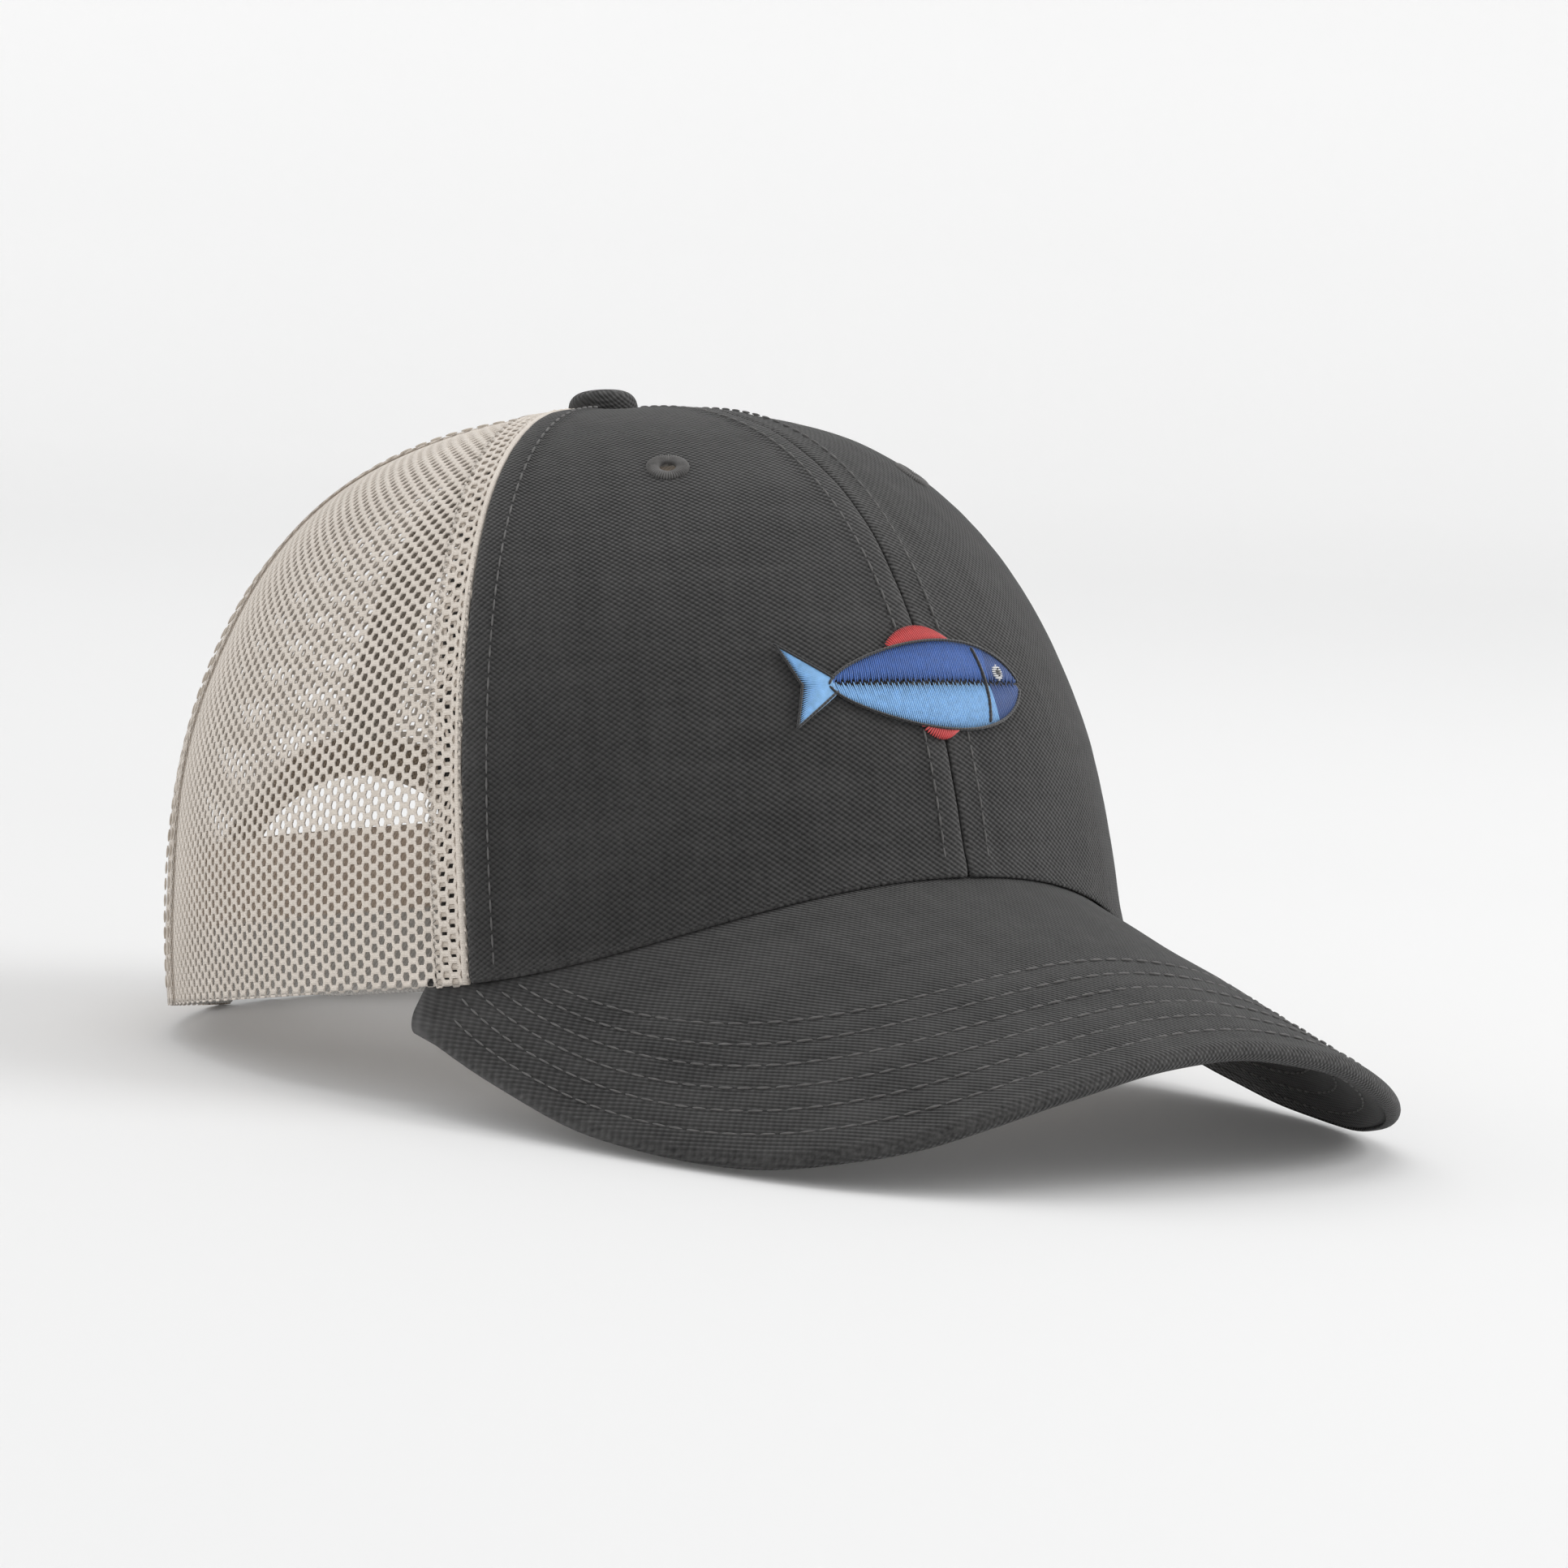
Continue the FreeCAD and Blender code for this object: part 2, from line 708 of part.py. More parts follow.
def rest_tilt():
    """The angle by which the cap tips back, so that brim and rear edge stand on one plane."""
    depth = brim_thickness()
    low_brim = [brim_point(1.0, across, depth) for across in steps(0.2, FULL, 80)]
    heel = angle_at_x(size("arch_half_width"), 0.0)
    rear = crown_point(heel, 0.0)
    return max(math.atan2(rear.z - point.z, rear.y - point.y) for point in low_brim)


tilt = Rotation(Vector(1, 0, 0), -math.degrees(rest_tilt()))
whole = Part.makeCompound([piece.Shape for piece in subparts])
corners = [tilt.multVec(point) for point in whole.tessellate(0.1)[0]]
lows = [min(point[axis] for point in corners) for axis in range(3)]
highs = [max(point[axis] for point in corners) for axis in range(3)]
stand = Placement(Vector(0, -(lows[1] + highs[1]) / 2, -lows[2]), tilt)

os.makedirs("parts", exist_ok=True)
for obj in doc.Objects:
    if {"Invalid", "Error"} & set(obj.State):
        raise RuntimeError(f"{obj.Label} failed: {obj.State}")
for piece in subparts:
    if piece.Shape.isNull() or not piece.Shape.isValid() or not piece.Shape.Solids:
        raise RuntimeError(f"{piece.Label} has no valid solid")
    piece.Placement = stand.multiply(piece.Placement)
doc.recompute()
for piece in subparts:
    piece.Shape.exportStep(f"parts/{piece.Label}.step")

hinge_depths = {"hole_strap": ("hole_strap_depth", -1), "stud_strap": ("stud_strap_depth", 1)}
for name, (depth, sign) in hinge_depths.items():
    radius = size("strap_radius") - size(depth) - size("strap_thickness") / 2
    across = sign * HINGE_OFFSET
    axis_point = Vector(across, STRAP_CENTRE + math.sqrt(radius**2 - across**2), STRAP_MIDDLE)
    print(name, "turns at", stand.multVec(axis_point))
print("tilt", math.degrees(rest_tilt()), "stand", stand.Base, "size", [b - a for a, b in zip(lows, highs)])
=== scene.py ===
"""A trucker cap: cloth front, knitted mesh sides and back, stitched brim and snap strap."""

import bisect
import json
import math

import bmesh
import bpy
from mathutils import Matrix, Vector, noise


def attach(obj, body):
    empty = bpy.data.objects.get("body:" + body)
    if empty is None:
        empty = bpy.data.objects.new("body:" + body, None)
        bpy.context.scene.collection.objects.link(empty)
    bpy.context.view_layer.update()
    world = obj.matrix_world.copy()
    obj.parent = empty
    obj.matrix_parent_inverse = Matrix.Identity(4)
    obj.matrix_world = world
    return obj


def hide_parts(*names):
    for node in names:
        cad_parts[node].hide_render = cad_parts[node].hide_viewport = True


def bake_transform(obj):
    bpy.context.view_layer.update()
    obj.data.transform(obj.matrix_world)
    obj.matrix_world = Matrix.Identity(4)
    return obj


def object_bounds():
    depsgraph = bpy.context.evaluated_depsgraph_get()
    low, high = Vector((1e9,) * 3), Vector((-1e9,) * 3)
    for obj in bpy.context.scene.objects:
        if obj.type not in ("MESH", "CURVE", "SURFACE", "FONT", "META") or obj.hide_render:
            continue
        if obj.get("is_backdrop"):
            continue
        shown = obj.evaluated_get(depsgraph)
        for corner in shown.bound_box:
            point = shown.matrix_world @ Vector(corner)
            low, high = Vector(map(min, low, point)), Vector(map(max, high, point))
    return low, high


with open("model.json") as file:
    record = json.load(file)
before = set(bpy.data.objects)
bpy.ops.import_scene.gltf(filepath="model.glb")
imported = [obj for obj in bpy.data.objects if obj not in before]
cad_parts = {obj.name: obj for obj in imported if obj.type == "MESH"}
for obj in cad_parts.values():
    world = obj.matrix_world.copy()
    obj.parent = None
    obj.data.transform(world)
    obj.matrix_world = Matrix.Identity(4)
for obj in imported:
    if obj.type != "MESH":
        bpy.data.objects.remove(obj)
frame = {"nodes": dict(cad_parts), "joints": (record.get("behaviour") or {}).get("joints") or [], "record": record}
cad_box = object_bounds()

# ---- front panels -------------------------------------------------------------------------
# The two front panels are washed charcoal canvas, cut as gores and sewn together down the
# middle. The seam allowances inside lift the cloth beside each seam, and the bottom edge is
# folded and sewn over the brim.

MM = 0.001
HALF_LENGTH, HALF_WIDTH, HEIGHT = 98.0 * MM, 86.6 * MM, 109.3 * MM
FRONT_PLAN, BACK_PLAN = 2.8, 2.4
FRONT_SHOULDER, BACK_SHOULDER = 2.41, 2.23
SETBACK = 5.1 * MM
QUARTER = math.pi / 2
SEAM = math.pi / 3
SIDES = {"right": 1, "left": -1}

opening = frame["record"]["mounts"][0]
down = Vector(opening["axis"])
TIP = math.atan2(down.y, -down.z)  # the cap stands tipped forward, on its brim
STAND = Matrix.Translation(opening["pos_m"]) @ Matrix.Rotation(TIP, 4, "X")
OUTWARD = STAND.to_3x3()


def share_of(front, back, angle):
    front_share = (1 + math.cos(angle)) / 2
    return front * front_share + back * (1 - front_share)


def wall(angle, rise):
    """The crown's outer face in the head's own frame: angle from the front, positive to the
    wearer's right, and rise from 0 at the opening to 1 at the top."""
    arc = min(max(rise, 0.0), 1.0) * QUARTER
    height = HEIGHT * math.sin(arc) ** (2 / share_of(FRONT_SHOULDER, BACK_SHOULDER, angle))
    spread = max(math.cos(arc), 0.0) ** (2 / share_of(FRONT_PLAN, BACK_PLAN, angle))
    y = -HALF_LENGTH * spread * math.cos(angle) + SETBACK * height / HEIGHT
    return Vector((-HALF_WIDTH * spread * math.sin(angle), y, height))


def crown(angle, rise, depth=0.0):
    """A point on the crown, sunk below its outer face, with the outward normal there."""
    step = 1e-4
    near = min(max(rise, step), 1 - step)
    up = wall(angle, near + step) - wall(angle, near - step)
    along = wall(angle + step, near) - wall(angle - step, near)
    normal = up.cross(along).normalized()
    if normal.dot(wall(angle, near) - Vector((0, 0, HEIGHT / 3))) < 0:
        normal = -normal
    return wall(angle, rise) - normal * depth, normal


def rise_at(angle, height):
    share = min(max(height, 0.0) / HEIGHT, 1.0)
    return math.asin(share ** (share_of(FRONT_SHOULDER, BACK_SHOULDER, angle) / 2)) / QUARTER


def width_per_turn(angle, rise):
    """How far along the cloth one radian is."""
    step = 1e-3
    return max((wall(angle + step, rise) - wall(angle - step, rise)).length / (2 * step), 1e-4)


class Meridian:
    """Lengths measured up the crown along one angle."""

    steps = 240

    def __init__(self, angle):
        self.rises = [i / self.steps for i in range(self.steps + 1)]
        self.lengths = [0.0]
        points = [wall(angle, rise) for rise in self.rises]
        for low, high in zip(points, points[1:]):
            self.lengths.append(self.lengths[-1] + (high - low).length)

    def length_at(self, rise):
        place = min(max(rise, 0.0), 1.0) * self.steps
        i = min(int(place), self.steps - 1)
        return self.lengths[i] + (self.lengths[i + 1] - self.lengths[i]) * (place - i)

    def rise_after(self, length):
        i = min(max(bisect.bisect_left(self.lengths, length), 1), self.steps)
        low, high = self.lengths[i - 1], self.lengths[i]
        share = min(max((length - low) / (high - low), 0.0), 1.0)
        return self.rises[i - 1] + (self.rises[i] - self.rises[i - 1]) * share


def smooth(share):
    """Eases from 0 to 1, flat at both ends."""
    share = min(max(share, 0.0), 1.0)
    return share * share * (3 - 2 * share)


CORNER = math.radians(65.4)
BRIM_RISE, BRIM_SLOPE = 15.1 * MM, 0.513
BRIM_HALF_WIDTH, CAMBER_DROP, CAMBER_POWER = 83.3 * MM, 49.5 * MM, 2.1
EDGE_EASE = math.radians(57.0)


def brim_height(x, y):
    camber = CAMBER_DROP * (abs(x) / BRIM_HALF_WIDTH) ** CAMBER_POWER
    return BRIM_RISE - camber - BRIM_SLOPE * (-y - HALF_LENGTH)


def edge_height(angle):
    """The crown's bottom edge: on the brim in front, easing down to the opening behind."""
    turned = min(abs(angle), CORNER)
    height = 0.0
    for _ in range(5):
        root = wall(turned, rise_at(turned, height))
        height = brim_height(root.x, root.y)
    return height * (1 - smooth((abs(angle) - CORNER) / EDGE_EASE))


class Signal:
    """A shader value that can be used in sums."""

    def __init__(self, tree, socket):
        self.tree, self.socket = tree, socket

    def join(self, operation, *values):
        node = self.tree.nodes.new("ShaderNodeMath")
        node.operation = operation
        for slot, value in zip(node.inputs, values):
            if isinstance(value, Signal):
                self.tree.links.new(value.socket, slot)
            else:
                slot.default_value = value
        return Signal(self.tree, node.outputs[0])

    def __add__(self, other):
        return self.join("ADD", self, other)

    def __sub__(self, other):
        return self.join("SUBTRACT", self, other)

    def __rsub__(self, other):
        return self.join("SUBTRACT", other, self)

    def __mul__(self, other):
        return self.join("MULTIPLY", self, other)

    def sin(self):
        return self.join("SINE", self)

    __radd__, __rmul__ = __add__, __mul__


class Finish:
    """A material made of one Principled shader and what feeds it."""

    def __init__(self, name, colour, roughness=0.9, **fixed):
        self.material = bpy.data.materials.new(name)
        self.material.use_nodes = True
        self.material.diffuse_color = (*colour, 1)
        self.tree = self.material.node_tree
        self.shader = self.tree.nodes["Principled BSDF"]
        self.shader.inputs["Base Color"].default_value = (*colour, 1)
        self.shader.inputs["Roughness"].default_value = roughness
        for socket, value in fixed.items():
            self.shader.inputs[socket.replace("_", " ")].default_value = value

    def node(self, kind, settings, inputs, output=0):
        made = self.tree.nodes.new(kind)
        for name, value in settings.items():
            setattr(made, name, value)
        for name, value in inputs.items():
            if isinstance(value, Signal):
                self.tree.links.new(value.socket, made.inputs[name])
            else:
                made.inputs[name].default_value = value
        return Signal(self.tree, made.outputs[output])

    def feed(self, socket, signal):
        self.tree.links.new(signal.socket, self.shader.inputs[socket])

    def cloth_place(self):
        return self.node("ShaderNodeUVMap", {"uv_map": "cloth"}, {})

    def along(self, axis):
        """The place on the cloth, in metres across or up."""
        return self.node("ShaderNodeSeparateXYZ", {}, {"Vector": self.cloth_place()}, axis)

    def speckle(self, scale, across=1.0, up=1.0, detail=3.0):
        """Noise that follows the cloth, stretched along it or across it."""
        stretch = {"Vector": self.cloth_place(), "Scale": (across, up, 1.0)}
        spread = self.node("ShaderNodeMapping", {}, stretch)
        inputs = {"Vector": spread, "Scale": scale, "Detail": detail}
        return self.node("ShaderNodeTexNoise", {"noise_dimensions": "3D"}, inputs)

    def solid_speckle(self, scale, detail=3.0):
        """Noise that runs through the piece."""
        place = self.node("ShaderNodeTexCoord", {}, {}, "Object")
        return self.node("ShaderNodeTexNoise", {}, {"Vector": place, "Scale": scale, "Detail": detail})

    def blend(self, share, first, second):
        """A mix of two colours; a Mix node's colour sockets are its inputs 6 and 7."""
        node = self.tree.nodes.new("ShaderNodeMix")
        node.data_type = "RGBA"
        for slot, value in ((0, share), (6, first), (7, second)):
            if isinstance(value, Signal):
                self.tree.links.new(value.socket, node.inputs[slot])
            elif slot:
                node.inputs[slot].default_value = (*value, 1)
            else:
                node.inputs[slot].default_value = value
        return Signal(self.tree, node.outputs[2])

    def ramp(self, signal, low, high):
        return self.node(
            "ShaderNodeMapRange", {"clamp": True},
            {"Value": signal, "From Min": low, "From Max": high, "To Min": 0.0, "To Max": 1.0},
        )

    def raise_by(self, height, distance, strength=1.0):
        inputs = {"Height": height, "Distance": distance, "Strength": strength}
        self.feed("Normal", self.node("ShaderNodeBump", {}, inputs))


def shade_of(colour, amount):
    return tuple(min(channel * amount, 1.0) for channel in colour)


def woven(name, colour, across, up, contrast=0.22, slub=0.5, fade=0.0, relief=0.12 * MM):
    """A plain weave: crossed threads of two pitches in metres, uneven threads and washed wear."""
    finish = Finish(name, colour, 0.95, Sheen_Weight=0.12, Sheen_Roughness=0.5)
    weft = (finish.along("X") * (2 * math.pi / across)).sin()
    warp = (finish.along("Y") * (2 * math.pi / up)).sin()
    weave = weft * warp
    scale = 0.22 / up
    slubs = finish.speckle(scale, 1.0, 0.16) + finish.speckle(scale, 0.16, 1.0)
    patches = finish.speckle(38.0, detail=4.0)
    grit = finish.speckle(0.8 / up, detail=2.0)
    uneven = (slubs - 1.0) * slub + (grit - 0.5) * 0.6 + (patches - 0.5) * 0.45
    light = weave * contrast + uneven + 0.42
    dark, pale = shade_of(colour, 0.4), shade_of(colour, 2.0)
    cloth_colour = finish.blend(finish.ramp(light, 0.0, 1.0), dark, pale)
    if fade:
        worn = finish.node("ShaderNodeAttribute", {"attribute_name": "wear"}, {}, "Fac")
        rubbed = worn * finish.ramp(finish.speckle(1300.0, detail=2.0), 0.35, 0.7)
        cloth_colour = finish.blend(rubbed * fade, cloth_colour, shade_of(colour, 4.0))
    finish.feed("Base Color", cloth_colour)
    finish.raise_by(weave * 0.6 + slubs * 0.5 + grit * 0.3, relief)
    return finish.material


CANVAS_COLOUR = (0.0275, 0.027, 0.0265)
canvas = woven(
    "charcoal_canvas", CANVAS_COLOUR, across=1.45 * MM, up=1.05 * MM, contrast=0.4, slub=0.5,
    fade=0.5, relief=0.3 * MM,
)


def finish_piece(name, work, material, body, thickness=0.0, level=0, offset=-1.0):
    """Makes a bmesh an object that rides on a body, and thickens and rounds it if asked."""
    data = bpy.data.meshes.new(name)
    work.to_mesh(data)
    work.free()
    data.materials.append(material)
    data.shade_smooth()
    piece = bpy.data.objects.new(name, data)
    bpy.context.scene.collection.objects.link(piece)
    if thickness:
        wall_modifier = piece.modifiers.new("thickness", "SOLIDIFY")
        wall_modifier.thickness = thickness
        wall_modifier.offset = offset
    if level:
        rounding = piece.modifiers.new("rounding", "SUBSURF")
        rounding.levels = rounding.render_levels = level
    if body:
        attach(piece, body)
    return piece


def face_out(work, outward):
    """Turns the faces so that they look the way outward(point) does."""
    work.normal_update()
    turned = sum(face.normal.dot(outward(face.calc_center_median())) for face in work.faces)
    if turned < 0:
        bmesh.ops.reverse_faces(work, faces=work.faces[:])


def from_head(point):
    return point - STAND @ Vector((0, 0, HEIGHT / 3))


def cloth_grid(columns, rows):
    """A flat grid, from -0.5 to 0.5 both ways, with a map for its weave."""
    work = bmesh.new()
    bmesh.ops.create_grid(work, x_segments=columns, y_segments=rows, size=0.5)
    work.loops.layers.uv.new("cloth")
    return work


def map_cloth(work, places):
    """Gives each point its place on the flat cloth, in metres, for the weave to follow."""
    cloth = work.loops.layers.uv["cloth"]
    for face in work.faces:
        for loop in face.loops:
            loop[cloth].uv = places[loop.vert]


def crown_sheet(first, last, low, high, columns, rows, relief, wear=None, crowd=0.5):
    """A grid of cloth on the crown. low(angle) and high(angle) are rises, relief(angle, rise)
    is a depth, and crowd pulls the columns towards the two sides."""
    work = cloth_grid(columns, rows)
    worn = work.verts.layers.float.new("wear")
    middle = (first + last) / 2
    meridian = Meridian(middle)
    places = {}
    for vert in work.verts:
        share = min(max(vert.co.x + 0.5, 0.0), 1.0)
        share = share * (1 - crowd) + crowd * (1 - math.cos(math.pi * share)) / 2
        angle = first + (last - first) * share
        bottom = low(angle)
        rise = bottom + (high(angle) - bottom) * (vert.co.y + 0.5)
        vert.co = STAND @ crown(angle, rise, relief(angle, rise))[0]
        vert[worn] = wear(angle, rise) if wear else 0.0
        places[vert] = ((angle - middle) * width_per_turn(angle, rise), meridian.length_at(rise))
    map_cloth(work, places)
    face_out(work, from_head)
    return work


TOP_HOLE = 0.985  # the rise at which the panels stop, under the button
CLOTH_LIFT, CANVAS_THICK, CANVAS_HOLE = 0.3 * MM, 0.8 * MM, 2.6 * MM
ALLOWANCE, ALLOWANCE_RISE = 5.2 * MM, 0.32 * MM
GROOVE_DEEP, GROOVE_HALF = 0.55 * MM, 0.7 * MM
FOLD_WIDTH, FOLD_RISE = 5.0 * MM, 0.55 * MM
HEM_FROM, HEM_WIDTH, HEM_RISE = 2.0 * MM, 4.0 * MM, 0.5 * MM
SWELL, SWELL_SCALE, CRIMP, CRIMP_SCALE = 0.5 * MM, 38.0, 0.12 * MM, 240.0
EYELET_ANGLE, EYELET_HEIGHT = math.radians(30.0), 93.0 * MM
EYELET_RADIUS, EYELET_THREAD = 2.75 * MM, 1.2 * MM


def gap_to(angle, rise, seam):
    """How far along the cloth a place is from a seam."""
    return abs(angle - seam) * width_per_turn(angle, rise)


def canvas_relief(side):
    """How deep the canvas lies: the centre groove, the allowances, the fold and the hem."""
    def relief(angle, rise):
        middle = gap_to(angle, rise, 0.0)
        outer = gap_to(angle, rise, side * SEAM)
        height = wall(angle, rise).z - edge_height(angle)
        groove = GROOVE_DEEP * math.exp(-((middle / GROOVE_HALF) ** 2))
        ridge = ALLOWANCE_RISE * (1 - smooth((middle - ALLOWANCE) / (1.6 * MM)))
        fold = FOLD_RISE * (1 - smooth((outer - FOLD_WIDTH) / (1.4 * MM)))
        fold *= smooth(outer / (0.5 * MM))
        hem = HEM_RISE * (1 - smooth((height - HEM_FROM) / HEM_WIDTH))
        swell = noise.noise(wall(angle, rise) * SWELL_SCALE) * SWELL * smooth(height / (12 * MM))
        crimp = noise.noise(Vector((middle, height, outer)) * CRIMP_SCALE) * CRIMP
        return groove - ridge - fold - hem - swell - crimp
    return relief


def canvas_wear(side):
    """How rubbed the canvas is: most along the seams and the bottom edge."""
    def wear(angle, rise):
        middle, outer = gap_to(angle, rise, 0.0), gap_to(angle, rise, side * SEAM)
        height = wall(angle, rise).z - edge_height(angle)
        rims = (middle / (2.2 * MM), outer / (2.0 * MM), height / (1.8 * MM))
        return max(math.exp(-(rim**2)) for rim in rims)
    return wear


def rise_above_edge(lift):
    return lambda angle: rise_at(angle, edge_height(angle) + lift)


def pierce(work, sign, radius):
    """Leaves a panel open at its eyelet."""
    eye = STAND @ crown(sign * EYELET_ANGLE, rise_at(sign * EYELET_ANGLE, EYELET_HEIGHT))[0]
    pierced = [f for f in work.faces if (f.calc_center_median() - eye).length < radius]
    bmesh.ops.delete(work, geom=pierced, context="FACES")


for side, sign in SIDES.items():
    work = crown_sheet(
        0.0, sign * SEAM, rise_above_edge(CLOTH_LIFT), lambda angle: TOP_HOLE,
        columns=64, rows=84, relief=canvas_relief(sign), wear=canvas_wear(sign),
    )
    pierce(work, sign, CANVAS_HOLE)
    panel = finish_piece(f"front_cloth_{side}", work, canvas, "cap", CANVAS_THICK, 1)
    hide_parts(f"front_panel_{side}")

# ---- sewing thread ------------------------------------------------------------------------
# Seams are sewn with a thread a shade lighter than the canvas. Each stitch is a short thread
# that goes down into the cloth at both ends.


def sewing_thread(name, colour, dark, pale, roughness, sheen):
    finish = Finish(name, colour, roughness, Sheen_Weight=sheen)
    finish.feed("Base Color", finish.blend(finish.solid_speckle(700.0), dark, pale))
    return finish.material


thread_grey = sewing_thread(
    "grey_thread", (0.08, 0.078, 0.076), dark=(0.055, 0.053, 0.052), pale=(0.17, 0.166, 0.162),
    roughness=0.85, sheen=0.15,
)
thread_beige = sewing_thread(
    "beige_thread", (0.5, 0.45, 0.39), dark=(0.4, 0.35, 0.29), pale=(0.66, 0.6, 0.53),
    roughness=0.8, sheen=0.3,
)


def walk(path, pitch):
    """Places spaced a pitch apart along path(share), each with its direction and normal."""
    samples = 360
    points = [path(i / samples) for i in range(samples + 1)]
    reached, travelled = pitch / 2, 0.0
    for (start, normal), (end, _) in zip(points, points[1:]):
        length = (end - start).length
        while length and travelled + length >= reached:
            place = start.lerp(end, (reached - travelled) / length)
            yield place, (end - start).normalized(), normal
            reached += pitch
        travelled += length


def lay_threads(work, places, length, radius, rings=5):
    """Adds one rounded thread at each (place, direction, normal), a little flattened."""
    for place, direction, normal in places:
        side = normal.cross(direction).normalized()
        turn = Matrix((direction, side, direction.cross(side))).transposed().to_4x4()
        shape = Matrix.Diagonal((radius, radius * 0.75, length / 2, 1))
        upright = Matrix(((0, 0, 1, 0), (0, 1, 0, 0), (-1, 0, 0, 0), (0, 0, 0, 1)))
        bmesh.ops.create_uvsphere(
            work, u_segments=6, v_segments=rings, radius=1.0,
            matrix=Matrix.Translation(place) @ turn @ upright @ shape,
        )


def crown_path(angle_of, rise_of, depth):
    """A path on the crown, for stitches: angle_of and rise_of take a share from 0 to 1."""
    def path(share):
        place, normal = crown(angle_of(share), rise_of(share), depth)
        return STAND @ place, OUTWARD @ normal
    return path


STITCH_PITCH, STITCH_LENGTH, THREAD_RADIUS = 3.1 * MM, 2.5 * MM, 0.26 * MM


def sew(name, paths, material, pitch=STITCH_PITCH, length=STITCH_LENGTH, radius=THREAD_RADIUS):
    work = bmesh.new()
    for path in paths:
        lay_threads(work, walk(path, pitch), length, radius)
    return finish_piece(name, work, material, "cap")


def beside(seam, distance):
    """The angle that lies a distance along the cloth from a seam, at a rise."""
    return lambda rise: seam + distance / width_per_turn(seam, rise)


def seam_row(seam, distance, depth, low=0.0):
    """A row of stitches beside a seam, from the bottom edge, or from low, to near the top."""
    start = max(low, rise_at(seam, edge_height(seam) + ROW_LIFT))
    angle = beside(seam, distance)

    def rise_of(share):
        return start + (ROW_TOP - start) * share

    return crown_path(lambda share: angle(rise_of(share)), rise_of, depth)


ROW_LIFT, ROW_TOP = 3 * MM, 0.93
CENTRE_ROW, CENTRE_ROW_DEPTH, SEAM_ROW_DEPTH = 5.0 * MM, -0.28 * MM, -0.62 * MM
FRONT_ROWS = [seam_row(0.0, sign * CENTRE_ROW, CENTRE_ROW_DEPTH) for sign in (-1, 1)]
FRONT_ROWS += [seam_row(sign * SEAM, -sign * ALLOWANCE, SEAM_ROW_DEPTH) for sign in (1, -1)]
sew("front_stitching", FRONT_ROWS, thread_grey)

# ---- mesh panels --------------------------------------------------------------------------
# Sides and back are four gores of knitted polyester mesh: upright zigzag strands with ladders
# of fine threads between the holes. Each is cut flat, so that the columns of holes run into
# the seams, where the cloth is turned under and lies double.

HOLE_PITCH, ROW_PITCH = 1.72 * MM, 2.62 * MM
ZIGZAG, STRAND, HOLE_TALL = 0.17 * MM, 0.29 * MM, 1.5 * MM
NET_THICK, NET_LIFT, NET_DEPTH, HOLE_EDGE = 0.42 * MM, 0.4 * MM, 0.1 * MM, 0.1 * MM
ARCH_WIDTH, ARCH_HEIGHT, BINDING = 38.0 * MM, 46.0 * MM, 8.0 * MM

knit = Finish("beige_mesh", (0.56, 0.5, 0.44), 0.75, Sheen_Weight=0.25, Sheen_Roughness=0.4)
LADDER_PITCH = 0.3 * MM
ladder = (knit.along("Y") * (2 * math.pi / LADDER_PITCH)).sin()
fuzz = knit.speckle(2400.0, 1.0, 1.0, 2.0)
uneven = knit.speckle(60.0, detail=3.0)
knit_light = knit.ramp(ladder * 0.16 + (fuzz - 0.5) * 0.8 + (uneven - 0.5) * 0.35 + 0.5, 0.0, 1.0)
knit.feed("Base Color", knit.blend(knit_light, (0.5, 0.445, 0.385), (0.89, 0.82, 0.745)))
# Painted light: the knit glows faintly, an emission that stands in for the light that passes through the thin
# knit.
knit.shader.inputs["Emission Color"].default_value = (0.66, 0.58, 0.5, 1)
knit.shader.inputs["Emission Strength"].default_value = 0.1
knit.raise_by(ladder * 0.4 + fuzz * 0.8, 0.09 * MM)


def flat_net(shift):
    """The knit laid flat: one holed cell, doubled across and up until it covers a gore."""
    work = bmesh.new()
    turned = Matrix.Rotation(QUARTER, 4, "Z")
    bmesh.ops.create_circle(work, cap_ends=True, segments=6, radius=1.0, matrix=turned)
    for vert in work.verts:
        at_side = abs(vert.co.y) < 0.1
        half = HOLE_PITCH / 2 + (ZIGZAG if at_side else -ZIGZAG)
        up = 0.0 if at_side else math.copysign(ROW_PITCH / 2, vert.co.y)
        vert.co = Vector((math.copysign(half, vert.co.x), up, 0.0))
    cell = work.faces[:]
    bmesh.ops.inset_individual(work, faces=cell, thickness=STRAND)
    inner_tall = max(vert.co.y for vert in cell[0].verts)
    for vert in cell[0].verts:
        vert.co.y *= HOLE_TALL / 2 / inner_tall
        vert.co.z = -1.0
    bmesh.ops.delete(work, geom=cell, context="FACES_ONLY")

    def repeat(across, up):
        copy = bmesh.ops.duplicate(work, geom=work.verts[:] + work.edges[:] + work.faces[:])["geom"]
        moved = [item for item in copy if isinstance(item, bmesh.types.BMVert)]
        bmesh.ops.translate(work, verts=moved, vec=Vector((across, up, 0)))

    repeat(HOLE_PITCH, ROW_PITCH / 2)
    wide, tall = 2, 1
    while wide < NET_CELLS:
        repeat(HOLE_PITCH * wide, 0)
        wide *= 2
    while tall < NET_CELLS:
        repeat(0, ROW_PITCH * tall)
        tall *= 2
    centred = Vector((-wide * HOLE_PITCH / 2 + shift, 0, 0))
    bmesh.ops.translate(work, verts=work.verts[:], vec=centred)
    bmesh.ops.remove_doubles(work, verts=work.verts[:], dist=WELD)
    return work


def in_arch(point, margin):
    """Whether a point of the back lies in the rear opening, widened by a margin."""
    across, up = point.x / (ARCH_WIDTH + margin), point.z / (ARCH_HEIGHT + margin)
    return point.y > 0 and across * across + up * up < 1


